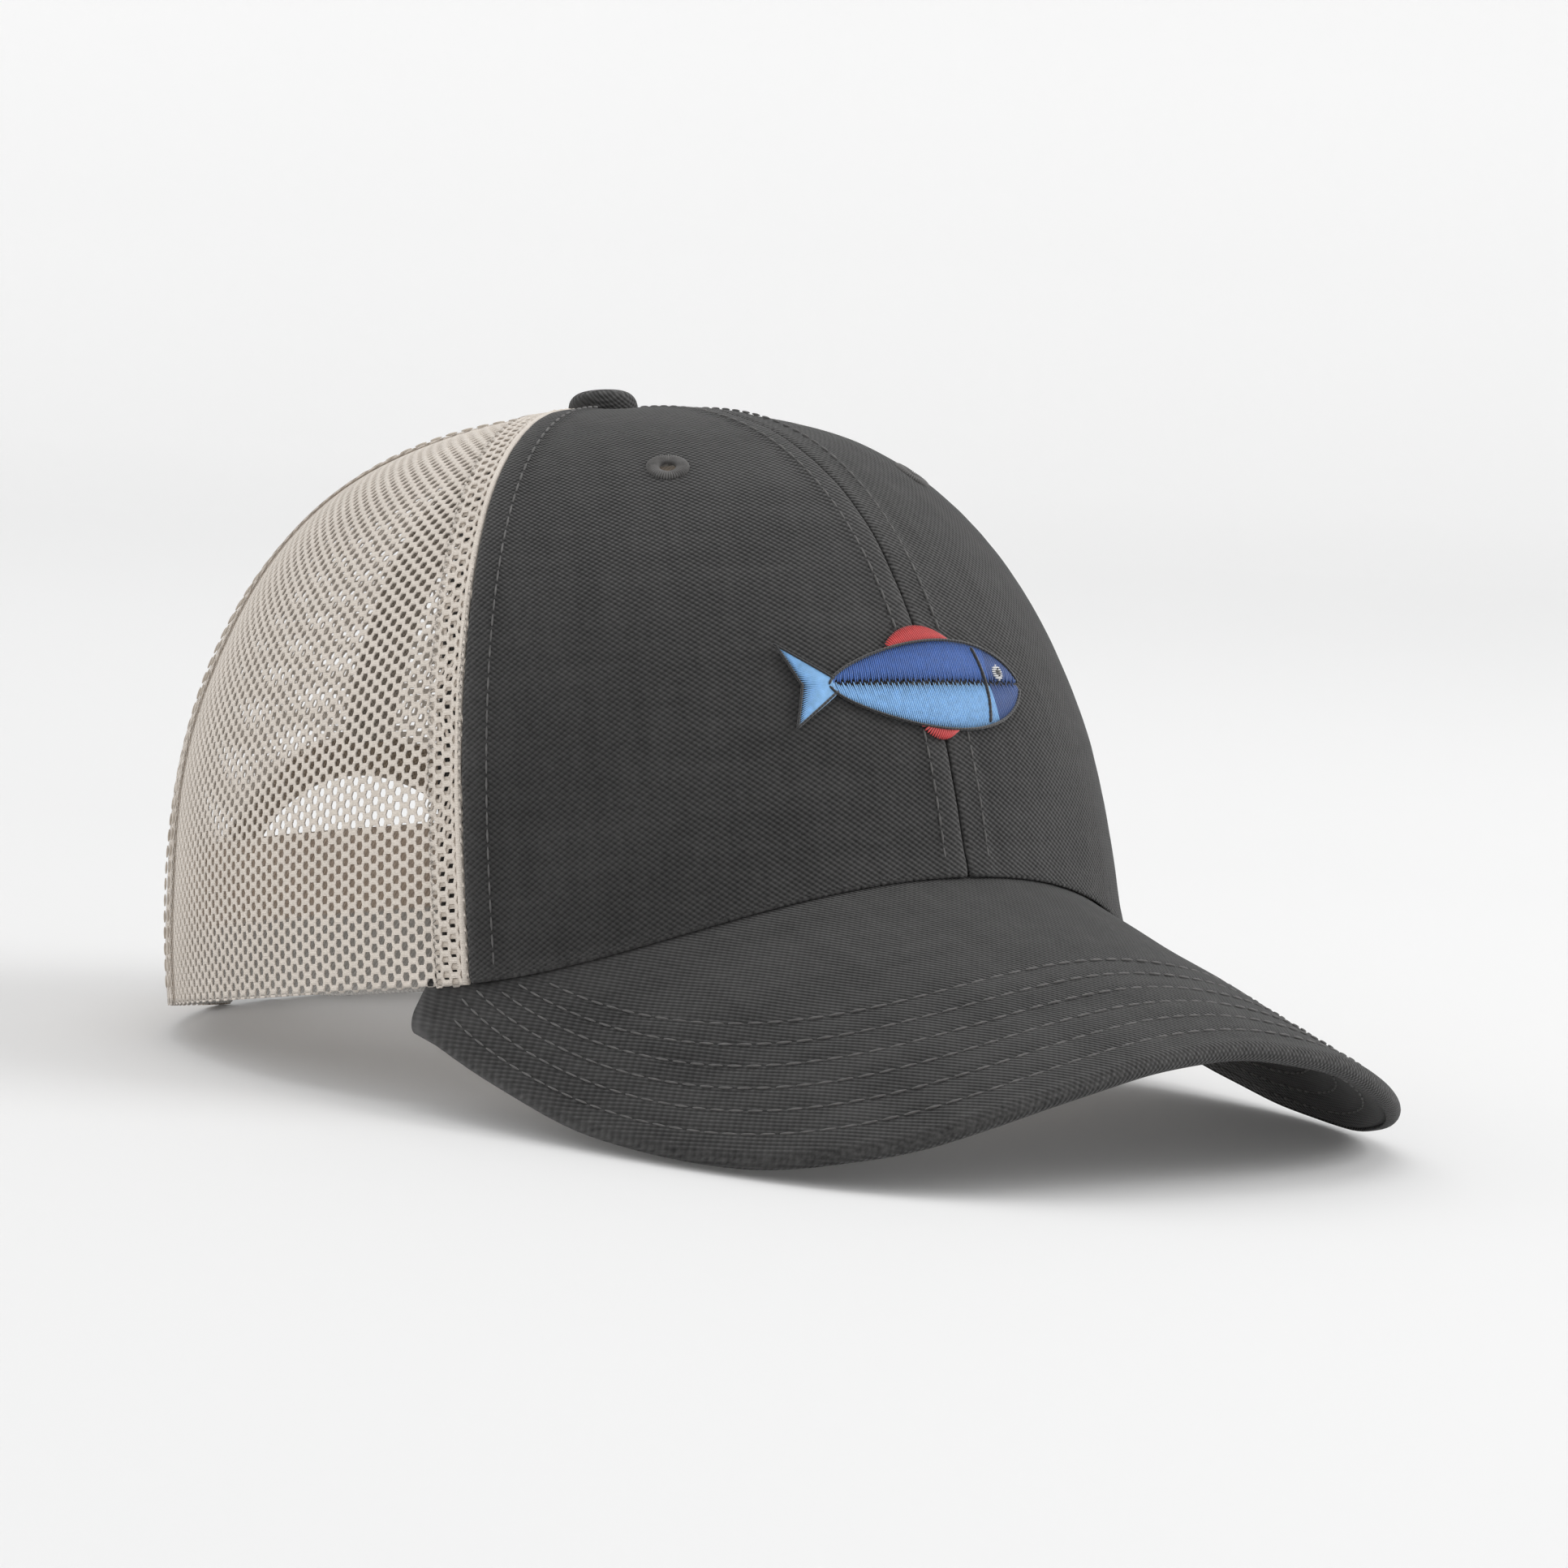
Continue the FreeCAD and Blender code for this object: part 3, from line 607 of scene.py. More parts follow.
def net_panel(name, middle, left, right, depth, high, shift=0.0, thickness=NET_THICK):
    """Mesh cut to a gore. left(rise) and right(rise) are angles of its two sides."""
    meridian = Meridian(middle)
    work = flat_net(shift)
    work.loops.layers.uv.new("cloth")
    flat = {}
    doomed = []
    for face in work.faces:
        centre = face.calc_center_median()
        rise = meridian.rise_after(centre.y)
        width = width_per_turn(middle, rise)
        angle = middle + centre.x / width
        spot = wall(angle, rise)
        reach = HOLE_PITCH / width
        outside = not left(rise) - reach * 0.5 < angle < right(rise) + reach * 0.5
        low = spot.z < edge_height(angle) + NET_LIFT - ROW_PITCH * 0.3
        if outside or low or rise > high or in_arch(spot, BINDING / 2):
            doomed.append(face)
    bmesh.ops.delete(work, geom=doomed, context="FACES")
    for vert in work.verts:
        flat[vert] = (vert.co.x, vert.co.y)
        rise = meridian.rise_after(vert.co.y)
        angle = middle + vert.co.x / width_per_turn(middle, rise)
        angle = min(max(angle, left(rise)), right(rise))
        rise = max(rise, rise_at(angle, edge_height(angle) + NET_LIFT))
        sunk = depth + (HOLE_EDGE if vert.co.z < -0.5 else 0.0)
        ripple = noise.noise(wall(angle, rise) * 30.0) * 0.7 * MM
        vert.co = STAND @ crown(angle, rise, sunk - ripple * smooth(rise * 8))[0]
    map_cloth(work, flat)
    bmesh.ops.dissolve_degenerate(work, dist=WELD, edges=work.edges[:])
    face_out(work, from_head)
    return finish_piece(name, work, knit.material, "cap", thickness)


NET_CELLS = 64
WELD = 0.02 * MM
GORES = {"side_mesh": (SEAM, 2 * SEAM), "back_mesh": (2 * SEAM, math.pi)}
SEAM_INSET, NET_TOP = 0.1 * MM, TOP_HOLE - 0.01
for label, (front_seam, rear_seam) in GORES.items():
    for side, sign in SIDES.items():
        low_angle, high_angle = sorted((sign * front_seam, sign * rear_seam))
        panel = net_panel(
            f"{label}_net_{side}", (low_angle + high_angle) / 2, beside(low_angle, SEAM_INSET),
            beside(high_angle, -SEAM_INSET), NET_DEPTH, NET_TOP,
        )
        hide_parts(f"{label}_{side}")


def turned_edge(name, seam, inset, width, high):
    """The doubled strip of mesh beside a seam."""
    first, last = sorted((inset, inset + width))
    net_panel(
        name, seam, beside(seam, first), beside(seam, last), -EDGE_LIFT, high,
        shift=HOLE_PITCH / 2, thickness=EDGE_THICK,
    )


EDGE_LIFT, EDGE_THICK = 0.5 * MM, 0.4 * MM
for side, sign in SIDES.items():
    for label, seam, way, inset, width, high in (
        ("front_turned_edge", sign * SEAM, sign, 0.3 * MM, 6.0 * MM, 0.95),
        ("rear_turned_edge_a", sign * 2 * SEAM, sign, 0.2 * MM, 4.5 * MM, 0.94),
        ("rear_turned_edge_b", sign * 2 * SEAM, -sign, 0.2 * MM, 4.5 * MM, 0.94),
        ("back_turned_edge", math.pi, sign, 0.2 * MM, 4.5 * MM, 0.94),
    ):
        turned_edge(f"{label}_{side}", seam, way * inset, way * width, high)


def seam_strip(seam, half, low, high, columns, rows, depth_at):
    """Cloth that lies over a seam. half is half its width, low and high are rises, and
    depth_at takes the share from one side to the other, -1 to 1, the angle and the rise."""
    work = cloth_grid(columns, rows)
    meridian = Meridian(seam)
    places = {}
    for vert in work.verts:
        rise = low + (high - low) * (vert.co.y + 0.5)
        share = vert.co.x * 2
        angle = seam + share * half / width_per_turn(seam, rise)
        places[vert] = (share * half, meridian.length_at(rise))
        vert.co = STAND @ crown(angle, rise, depth_at(share, angle, rise))[0]
    map_cloth(work, places)
    face_out(work, from_head)
    return work


def welt(name, seam, half, bulge, low):
    """The rolled edge of knit that stands up along a seam."""
    def depth_at(share, angle, rise):
        ragged = noise.noise(Vector((angle, rise * 90.0, 0.0)) * 3.0) * WELT_RAGGED
        return bulge * (share * share - 1) - ragged + WELT_DEPTH

    start = rise_at(seam, edge_height(seam) + low)
    work = seam_strip(seam, half, start, WELT_TOP, columns=6, rows=160, depth_at=depth_at)
    finish_piece(name, work, knit.material, "cap", WELT_THICK)


WELT_THICK, WELT_HALF, WELT_BULGE, WELT_LIFT = 0.5 * MM, 0.5 * MM, 0.45 * MM, 0.3 * MM
WELT_RAGGED, WELT_DEPTH, WELT_TOP = 0.25 * MM, 0.1 * MM, 0.95
FRONT_WELT_TURN, FRONT_WELT_HALF, FRONT_WELT_BULGE = 0.008, 0.7 * MM, 0.9 * MM
ABOVE_ARCH = ARCH_HEIGHT + BINDING - 1 * MM
for side, sign in SIDES.items():
    front_welt = sign * (SEAM + FRONT_WELT_TURN)
    welt(f"front_seam_welt_{side}", front_welt, FRONT_WELT_HALF, FRONT_WELT_BULGE, WELT_LIFT)
    welt(f"rear_seam_welt_{side}", sign * 2 * SEAM, WELT_HALF, WELT_BULGE, WELT_LIFT)
welt("back_seam_welt", math.pi, WELT_HALF, WELT_BULGE, ABOVE_ARCH)

back_start = rise_at(math.pi, ABOVE_ARCH)
MESH_ROW, MESH_ROW_DEPTH = 3.4 * MM, -0.58 * MM
MESH_ROWS = []
for seam, low in ((2 * SEAM, 0.0), (-2 * SEAM, 0.0), (math.pi, back_start)):
    for gap in (-MESH_ROW, MESH_ROW):
        MESH_ROWS.append(seam_row(seam, gap, MESH_ROW_DEPTH, low))
sew("mesh_stitching", MESH_ROWS, thread_beige)

# ---- stiffener, tapes and sweatband -------------------------------------------------------
# Inside, white buckram stiffens the front, woven tape covers each seam, and a soft twill band
# is sewn in along the bottom edge and folded up against the crown.

TAPE_WEAVE = 0.9 * MM
buckram_cloth = woven("buckram", (0.5, 0.49, 0.47), across=1.3 * MM, up=1.3 * MM, slub=0.3)
dark_tape = woven("dark_tape", (0.06, 0.058, 0.056), TAPE_WEAVE, TAPE_WEAVE)
beige_tape = woven("beige_tape", (0.4, 0.35, 0.3), TAPE_WEAVE, TAPE_WEAVE)

BUCKRAM_INSET, BUCKRAM_LIFT, BUCKRAM_TOP = 0.03, 2 * MM, 0.96
BUCKRAM_DEPTH, BUCKRAM_THICK, BUCKRAM_HOLE = 1.15 * MM, 0.6 * MM, 3.6 * MM
for side, sign in SIDES.items():
    work = crown_sheet(
        sign * BUCKRAM_INSET, sign * (SEAM - BUCKRAM_INSET), rise_above_edge(BUCKRAM_LIFT),
        lambda angle: BUCKRAM_TOP, columns=60, rows=100,
        relief=lambda angle, rise: BUCKRAM_DEPTH, crowd=0.0,
    )
    pierce(work, sign, BUCKRAM_HOLE)
    stiffener = finish_piece(f"stiffener_{side}", work, buckram_cloth, "cap", BUCKRAM_THICK)
    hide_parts(f"buckram_{side}")


def tape(name, seam, depth, low, material, slot):
    """Tape over a seam, bowed over the allowances, from a rise at the bottom to the button."""
    def depth_at(share, angle, rise):
        return depth + TAPE_BOW * math.cos(share * QUARTER)

    work = seam_strip(seam, TAPE_HALF, low, TAPE_TOP, columns=10, rows=90, depth_at=depth_at)
    piece = finish_piece(name, work, material, "cap", TAPE_THICK)
    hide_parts(name.replace("_strip", "_tape"))


TAPE_HALF, TAPE_THICK, TAPE_BOW, TAPE_TOP = 6 * MM, 0.5 * MM, 0.25 * MM, 0.962
CANVAS_TAPE_DEPTH, MESH_TAPE_DEPTH, TAPE_LIFT = 1.95 * MM, 1.1 * MM, 1 * MM
foot = rise_above_edge(TAPE_LIFT)
tape("front_centre_strip", 0.0, CANVAS_TAPE_DEPTH, foot(0.0), dark_tape, "seam_tape")
tape("back_centre_strip", math.pi, MESH_TAPE_DEPTH, back_start, beige_tape, "mesh_tape")
for side, sign in SIDES.items():
    for label, turn, depth, material, slot in (
        ("front_seam_strip", SEAM, CANVAS_TAPE_DEPTH, dark_tape, "seam_tape"),
        ("rear_seam_strip", 2 * SEAM, MESH_TAPE_DEPTH, beige_tape, "mesh_tape"),
    ):
        tape(f"{label}_{side}", sign * turn, depth, foot(turn), material, slot)

BAND_DEPTH, BAND_THICK, BAND_HEIGHT, BAND_HALF = 3.3 * MM, 1.1 * MM, 30.0 * MM, 15.5 * MM
BRIM_THICK = 3.7 * MM
RIB_PITCH = 1.1 * MM
twill = Finish("sweatband_twill", (0.32, 0.27, 0.22), 0.95, Sheen_Weight=0.2)
slope = twill.along("X") + twill.along("Y")
ribs = (slope * (2 * math.pi / RIB_PITCH)).sin()
band_light = twill.ramp(ribs * 0.2 + (twill.speckle(120.0) - 0.5) * 0.7 + 0.5, 0.0, 1.0)
upper = twill.blend(band_light, (0.42, 0.33, 0.26), (0.66, 0.56, 0.47))
lower = twill.blend(band_light, (0.36, 0.34, 0.32), (0.58, 0.56, 0.53))
half_way = twill.ramp(twill.along("Y"), BAND_HALF, BAND_HALF + 0.7 * MM)
twill.feed("Base Color", twill.blend(half_way, lower, upper))
twill.raise_by(ribs, 0.1 * MM)


def band_foot(angle):
    return edge_height(angle) - BRIM_THICK * (1 - smooth(3 * (abs(angle) - CORNER)))


def band_relief(angle, rise):
    up = (wall(angle, rise).z - band_foot(angle)) / BAND_HEIGHT
    roll = 0.5 * MM * math.cos(up * math.pi) ** 6
    return BAND_DEPTH - roll + 0.4 * MM * noise.noise(Vector((angle * 5, up * 2, 0)))


BAND_GAP, BAND_SQUEEZE = 1.8 * MM, 0.985
BAND_END = math.pi - math.asin((ARCH_WIDTH + BAND_GAP) / (HALF_WIDTH * BAND_SQUEEZE)) - 0.004
work = crown_sheet(
    -BAND_END, BAND_END, lambda angle: rise_at(angle, band_foot(angle)),
    rise_above_edge(BAND_HEIGHT), columns=200, rows=16, relief=band_relief, crowd=0.0,
)
band = finish_piece("sweatband_cloth", work, twill.material, "cap", BAND_THICK, 1)
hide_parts("sweatband")


def band_row(height):
    def angle_of(share):
        return BAND_END * 0.99 * (2 * share - 1)

    rise_of = rise_above_edge(height)
    return crown_path(angle_of, lambda share: rise_of(angle_of(share)), BAND_DEPTH + BAND_THICK)


BAND_ROWS = [band_row(2.5 * MM), band_row(27.5 * MM)]
sew("sweatband_stitching", BAND_ROWS, thread_beige)

# ---- brim ---------------------------------------------------------------------------------
# A plastic board is covered above and below with the canvas of the front. The upper cloth
# rolls round the board's edge to a seam underneath, and rows of stitching hold both cloths.

BRIM_LENGTH, CLOTH_THICK = 66.5 * MM, 0.65 * MM
BRIM_SIDE, BRIM_FRONT, BRIM_TUCK, TURN_IN = 2.84, 2.53, 3.0 * MM, 10.0 * MM
BASE_Y = -HALF_LENGTH * math.cos(CORNER)


def brim_ends(across):
    """The root under the crown and the point of the outline, from corner to corner."""
    root = crown(across * CORNER, 0.0, BRIM_TUCK)[0]
    turn = across * QUARTER
    flat = max(1 - abs(math.sin(turn)) ** BRIM_SIDE, 0.0)
    reach = HALF_LENGTH + BRIM_LENGTH + BASE_Y
    tip = Vector((-BRIM_HALF_WIDTH * math.sin(turn), BASE_Y - reach * flat ** (1 / BRIM_FRONT), 0))
    return root, tip


def brim_top(reach, across):
    """The brim's upper face, a length out from the root."""
    root, tip = brim_ends(across)
    span = Vector((tip.x - root.x, tip.y - root.y, 0))
    length = span.length
    spot = Vector((root.x, root.y, 0)) + span * (reach / length)
    curl = BRIM_THICK * max(reach - BRIM_TUCK, 0.0) / BRIM_LENGTH
    spot.z = brim_height(spot.x, spot.y) + curl
    return spot


def brim(reach, across, depth):
    """A point of the brim and its upward normal, in the cap's frame."""
    step = 0.2 * MM
    outward = brim_top(reach + step, across) - brim_top(reach - step, across)
    sideways = brim_top(reach, across + 0.002) - brim_top(reach, across - 0.002)
    normal = outward.cross(sideways).normalized()
    normal = normal if normal.z > 0 else -normal
    turned = min(max(reach, 0.0) / TURN_IN, 1.0)
    downward = -normal * turned + Vector((0, 0, -1 / normal.z)) * (1 - turned)
    return STAND @ (brim_top(reach, across) + downward * depth), OUTWARD @ normal


def brim_length_at(across):
    root, tip = brim_ends(across)
    return math.hypot(tip.x - root.x, tip.y - root.y)


LIP, LIP_ROLL = BRIM_THICK / 2, math.radians(165)
UNDER_INSET, SEAM_DIP = 0.35 * LIP, 1.0 * MM
ROWS_AT = [6.0 * MM + i * 5.6 * MM for i in range(6)]  # each row's distance from the outline


def quilting(from_edge):
    """How far the stitching pulls the cloth down."""
    return sum(0.16 * MM * math.exp(-(((from_edge - row) / (0.9 * MM)) ** 2)) for row in ROWS_AT)


def upper_profile(share, length):
    """Reach and depth along the upper cloth: out over the board, then round its edge."""
    straight = length - LIP
    travelled = share * (straight + LIP * LIP_ROLL)
    if travelled <= straight:
        return travelled, quilting(length - travelled), travelled
    turn = (travelled - straight) / LIP
    return straight + LIP * math.sin(turn), LIP * (1 - math.cos(turn)), travelled


def lower_profile(share, length):
    """The under cloth: flat under the board, dipping up into the seam at its edge."""
    reach = share * (length - UNDER_INSET)
    from_edge = length - reach
    dip = SEAM_DIP * (1 - smooth((from_edge - UNDER_INSET) / (2.0 * MM)))
    return reach, BRIM_THICK - dip - quilting(from_edge), reach


BRIM_COLOUR = shade_of(CANVAS_COLOUR, 0.86)
brim_canvas = woven(
    "brim_canvas", BRIM_COLOUR, across=0.95 * MM, up=1.25 * MM, contrast=0.22, slub=0.8,
    fade=0.6, relief=0.22 * MM,
)
RIM_WEAR = 0.9 * MM


def brim_cloth(profile, columns, rows, crowd_rim, facing):
    """A layer of the brim. crowd_rim over 1 sets the rows closer towards the outline."""
    work = cloth_grid(columns, rows)
    worn = work.verts.layers.float.new("wear")
    places = {}
    for vert in work.verts:
        across = vert.co.x * 2 * 0.999
        share = 1 - (0.5 - vert.co.y) ** crowd_rim
        length = brim_length_at(across)
        reach, depth, travelled = profile(share, length)
        place, _ = brim(reach, across, depth)
        waver = noise.noise(place * 60.0) * 0.35 * MM * smooth(reach / (15 * MM))
        vert.co = place + Vector((0, 0, waver))
        places[vert] = (brim_top(reach, across).x, travelled)
        at_rim = length - reach < LIP * 1.3
        vert[worn] = math.exp(-(((depth - RIM_WEAR) / RIM_WEAR) ** 2)) if at_rim else 0.0
    map_cloth(work, places)
    face_out(work, lambda point: facing)
    return work


upward = OUTWARD @ Vector((0, 0, 1))
work = brim_cloth(upper_profile, columns=150, rows=110, crowd_rim=1.35, facing=upward)
upper_cloth = finish_piece("brim_upper_cloth", work, brim_canvas, "cap", CLOTH_THICK)
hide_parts("brim_top_cover")
work = brim_cloth(lower_profile, columns=110, rows=70, crowd_rim=1.35, facing=-upward)
under_cloth = finish_piece("brim_under_cloth", work, brim_canvas, "cap", CLOTH_THICK)
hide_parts("brim_under_cover")


def brim_row(from_edge, depth):
    def path(share):
        across = (2 * share - 1) * 0.97
        reach = brim_length_at(across) - from_edge
        return brim(reach, across, depth)
    return path


def on_brim(places):
    """Only the stitches that lie in front of the crown."""
    for place, direction, normal in places:
        flat = STAND.inverted() @ place
        if (flat.x / HALF_WIDTH) ** 2 + (flat.y / HALF_LENGTH) ** 2 > 1.03:
            yield place, direction, normal


BRIM_PITCH, BRIM_STITCH = 3.6 * MM, 2.9 * MM
for label, depth in (("upper", -0.02 * MM), ("under", BRIM_THICK - 0.05 * MM)):
    work = bmesh.new()
    for from_edge in ROWS_AT:
        places = walk(brim_row(from_edge, depth), BRIM_PITCH)
        lay_threads(work, on_brim(places), BRIM_STITCH, THREAD_RADIUS)
    rows = finish_piece(f"brim_{label}_stitching", work, thread_grey, "cap")

board_plastic = Finish("brim_plastic", (0.02, 0.02, 0.02), 0.5)
board_plastic.raise_by(board_plastic.solid_speckle(400.0), 0.1 * MM)
BOARD_INSET, BOARD_DEPTH, BOARD_THICK = 3.4 * MM, 0.95 * MM, 1.7 * MM


def board_profile(share, length):
    reach = share * (length - BOARD_INSET)
    return reach, BOARD_DEPTH, reach


work = brim_cloth(board_profile, columns=90, rows=40, crowd_rim=1.0, facing=upward)
board = finish_piece("brim_board_plate", work, board_plastic.material, "cap", BOARD_THICK)
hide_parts("brim_board")

# ---- rear opening: binding and snap strap -------------------------------------------------
# A folded tape binds the arch. Two black plastic strips are sewn in at its corners: studs on
# the wearer's left go out through the holes of the strip from the wearer's right.

binding_cloth = woven("binding_tape", (0.36, 0.29, 0.225), TAPE_WEAVE, TAPE_WEAVE)


def angle_at(x, height):
    """The angle at which the back of the crown passes a distance across."""
    angle = math.pi
    for _ in range(10):
        angle -= (x + wall(angle, rise_at(angle, height)).x) / HALF_WIDTH
    return angle


def arch_point(turn, reach, depth):
    x, height = (ARCH_WIDTH + reach) * math.cos(turn), (ARCH_HEIGHT + reach) * math.sin(turn)
    angle = angle_at(x, height)
    place, normal = crown(angle, rise_at(angle, height), depth)
    return STAND @ place, OUTWARD @ normal


def binding_faces(point):
    """Outwards over the arch, and down beside the strap, where the tape turns under."""
    high = (STAND.inverted() @ point).z > 60 * MM
    return from_head(point) if high else Vector((0, 0, -1))


FOLD_HALF, FOLD_RADIUS = 0.95 * MM, 1.1 * MM
work = cloth_grid(120, 24)
places = {}
for vert in work.verts:
    turn = math.pi * (vert.co.x + 0.5)
    fold = (vert.co.y + 0.5) * 2 - 1  # -1 outside, 0 at the arch, 1 inside
    reach = BINDING * abs(fold)
    round_edge = math.sqrt(min(reach / FOLD_RADIUS, 1.0))
    depth = 0.55 * MM + math.copysign(FOLD_HALF * round_edge, fold)
    places[vert] = (turn * ARCH_HEIGHT, fold * BINDING)
    vert.co = arch_point(turn, reach, depth)[0]
map_cloth(work, places)
face_out(work, binding_faces)
binding = finish_piece("arch_binding_cloth", work, binding_cloth, "cap", 0.4 * MM, offset=0.0)
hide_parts("arch_binding")


def arch_row(reach):
    return lambda share: arch_point(math.pi * share, reach, -0.42 * MM)


ARCH_ROWS = [arch_row(1.8 * MM), arch_row(6.6 * MM)]
sew("arch_stitching", ARCH_ROWS, thread_beige)

snap_plastic = Finish("snap_plastic", (0.012, 0.012, 0.013), 0.42, Coat_Weight=0.05)
grain = snap_plastic.solid_speckle(1500.0, 2.0)
snap_plastic.feed("Roughness", snap_plastic.ramp(grain, -0.6, 1.6))
snap_plastic.raise_by(grain, 0.03 * MM)
for label in ("hole_strap", "stud_strap"):
    strip_data = frame["nodes"][label].data
    strip_data.materials.clear()
    strip_data.materials.append(snap_plastic.material)

STRAP_RADIUS, STRAP_HALF_THICK, STRAP_ROUND = 78.0 * MM, 0.65 * MM, 0.3 * MM
STRAP_CENTRE = HALF_LENGTH - STRAP_RADIUS
SEWN_FROM, SEWN_BEND, SEWN_DEPTH = 34.7 * MM, 7.3 * MM, 1.9 * MM
STUD_DEPTH = 3.2 * MM
LOW_STRAP, HIGH_STRAP, WING = 1.5 * MM, 20.1 * MM, 5.9 * MM
ROOT_FROM, ROOT_TO = 32.7 * MM, 50.5 * MM
WING_FROM, WING_TO = 23.6 * MM, 33.2 * MM


def strip_block(work, sign, depth, first, last, low, high):
    """A length of strip that bends out from the free part's depth to the sewn end's."""
    block = bmesh.new()
    bmesh.ops.create_cube(block, size=1.0)
    along = [edge for edge in block.edges if abs((edge.verts[0].co - edge.verts[1].co).x) > 0.5]
    bmesh.ops.subdivide_edges(block, edges=along, cuts=30)
    rims = [edge for edge in block.edges if abs((edge.verts[0].co - edge.verts[1].co).x) > 0.01]
    for vert in block.verts:
        x = first + (last - first) * (vert.co.x + 0.5)
        sunk = depth + (SEWN_DEPTH - depth) * smooth((x - SEWN_FROM) / SEWN_BEND)
        radius = STRAP_RADIUS - sunk - 0.5 * MM + 2 * STRAP_HALF_THICK * vert.co.y
        height = low + (high - low) * (vert.co.z + 0.5)
        vert.co = STAND @ Vector((sign * x, STRAP_CENTRE + math.sqrt(radius**2 - x**2), height))
    bmesh.ops.bevel(
        block, geom=rims, offset=STRAP_ROUND, segments=2, affect="EDGES", profile=0.5, material=-1,
    )
    length = bpy.data.meshes.new("strip")
    block.to_mesh(length)
    block.free()
    work.from_mesh(length)
    bpy.data.meshes.remove(length)


for joint in frame["joints"]:
    strap = joint["child"]
    pivot = Vector(joint["pos_m"])
    sign = 1 if pivot.x > 0 else -1
    depth = STUD_DEPTH if strap == "stud_strap" else SEWN_DEPTH
    # The full-width end, and two wings that square off the free part's round corners.
    work = bmesh.new()
    strip_block(work, sign, depth, ROOT_FROM, ROOT_TO, LOW_STRAP, HIGH_STRAP)
    strip_block(work, sign, depth, WING_FROM, WING_TO, LOW_STRAP, LOW_STRAP + WING)
    strip_block(work, sign, depth, WING_FROM, WING_TO, HIGH_STRAP - WING, HIGH_STRAP)
    bmesh.ops.recalc_face_normals(work, faces=work.faces[:])
    root = finish_piece(f"{strap}_root", work, snap_plastic.material, None)
    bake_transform(root)
    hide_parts(f"{strap}_tab")

# ---- eyelets ------------------------------------------------------------------------------
# A vent hole in each front panel is bound with satin stitches set like spokes. The thread is
# that of the seams.

SPOKES = 46
SPOKE = Matrix.Diagonal((EYELET_THREAD * 1.08, 0.27 * MM, 0.75 * MM, 1))
for side, sign in SIDES.items():
    rise = rise_at(sign * EYELET_ANGLE, EYELET_HEIGHT)
    centre, normal = crown(sign * EYELET_ANGLE, rise, 0.15 * MM)
    lean = (OUTWARD @ normal).to_track_quat("Z", "Y").to_matrix().to_4x4()
    work = bmesh.new()
    for i in range(SPOKES):
        turned = Matrix.Rotation(2 * math.pi * i / SPOKES, 4, "Z")
        out = Matrix.Translation((EYELET_RADIUS, 0, 0))
        place = Matrix.Translation(STAND @ centre) @ lean @ turned @ out @ SPOKE
        bmesh.ops.create_uvsphere(work, u_segments=8, v_segments=8, radius=1.0, matrix=place)
    ring = finish_piece(f"eyelet_thread_{side}", work, thread_grey, "cap")
    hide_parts(f"eyelet_{side}")

# ---- top button ---------------------------------------------------------------------------
# A stamped metal button is covered with a disc of the canvas, gathered under its rim, and
# riveted through the crown where the six seams meet.

BUTTON_RADIUS, DOME, RIM_HEIGHT = 6.75 * MM, 4.25 * MM, 0.9 * MM
PLEATS, PLEAT_DEEP, PLEAT_TALL = 14, 0.035, 3.4 * MM


def spin_round(profile, steps, weld):
    """A shape turned from (reach, height) places, from its foot to its crown."""
    work = bmesh.new()
    line = [work.verts.new((reach, 0.0, up)) for reach, up in profile]
    strokes = [work.edges.new(pair) for pair in zip(line, line[1:])]
    bmesh.ops.spin(
        work, geom=line + strokes, axis=(0, 0, 1), cent=(0, 0, 0), angle=2 * math.pi,
        steps=steps, use_merge=True,
    )
    bmesh.ops.remove_doubles(work, verts=work.verts[:], dist=weld)
    return work


under = [(0.55, -0.05 * MM), (0.86, -0.05 * MM), (0.97, 0.3 * MM)]
profile = [(BUTTON_RADIUS * share, up) for share, up in under]
for i in range(19):
    turn = QUARTER * i / 18
    reach = BUTTON_RADIUS * math.cos(turn) ** 0.55
    profile.append((reach, RIM_HEIGHT + DOME * math.sin(turn) ** 0.8))
work = spin_round(profile, 72, 0.01 * MM)
bmesh.ops.recalc_face_normals(work, faces=work.faces[:])
cloth = work.loops.layers.uv.new("cloth")
worn = work.verts.layers.float.new("wear")
for vert in work.verts:
    turn = math.atan2(vert.co.y, vert.co.x)
    low = 1 - smooth(vert.co.z / PLEAT_TALL)
    pleat = 1 - PLEAT_DEEP * low * (0.5 + 0.5 * math.cos(PLEATS * turn + 2 * math.sin(turn)))
    vert.co.x *= pleat
    vert.co.y *= pleat
    vert[worn] = math.exp(-(((vert.co.z - 4.4 * MM) / (0.9 * MM)) ** 2)) * 0.6
for face in work.faces:
    for loop in face.loops:
        spot = loop.vert.co
        loop[cloth].uv = (spot.x, spot.y - spot.z * 1.2)
seat = Matrix.Translation((0, SETBACK, HEIGHT + 0.1 * MM))
bmesh.ops.transform(work, verts=work.verts[:], matrix=STAND @ seat)
button = finish_piece("button_cloth", work, canvas, "cap", 0.5 * MM)
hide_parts("button_cover")

metal = Finish("button_metal", (0.6, 0.6, 0.6), 0.4, Metallic=1.0)
metal.feed("Roughness", metal.ramp(metal.solid_speckle(300.0), -0.3, 1.8))
for label in ("button_shell", "button_rivet"):
    frame["nodes"][label].data.materials.clear()
    frame["nodes"][label].data.materials.append(metal.material)

# ---- embroidery ---------------------------------------------------------------------------
# A plain fish in satin stitch crosses the centre seam: blue back, light belly, red fins and a
# black outline. Each thread is its own short raised stitch.

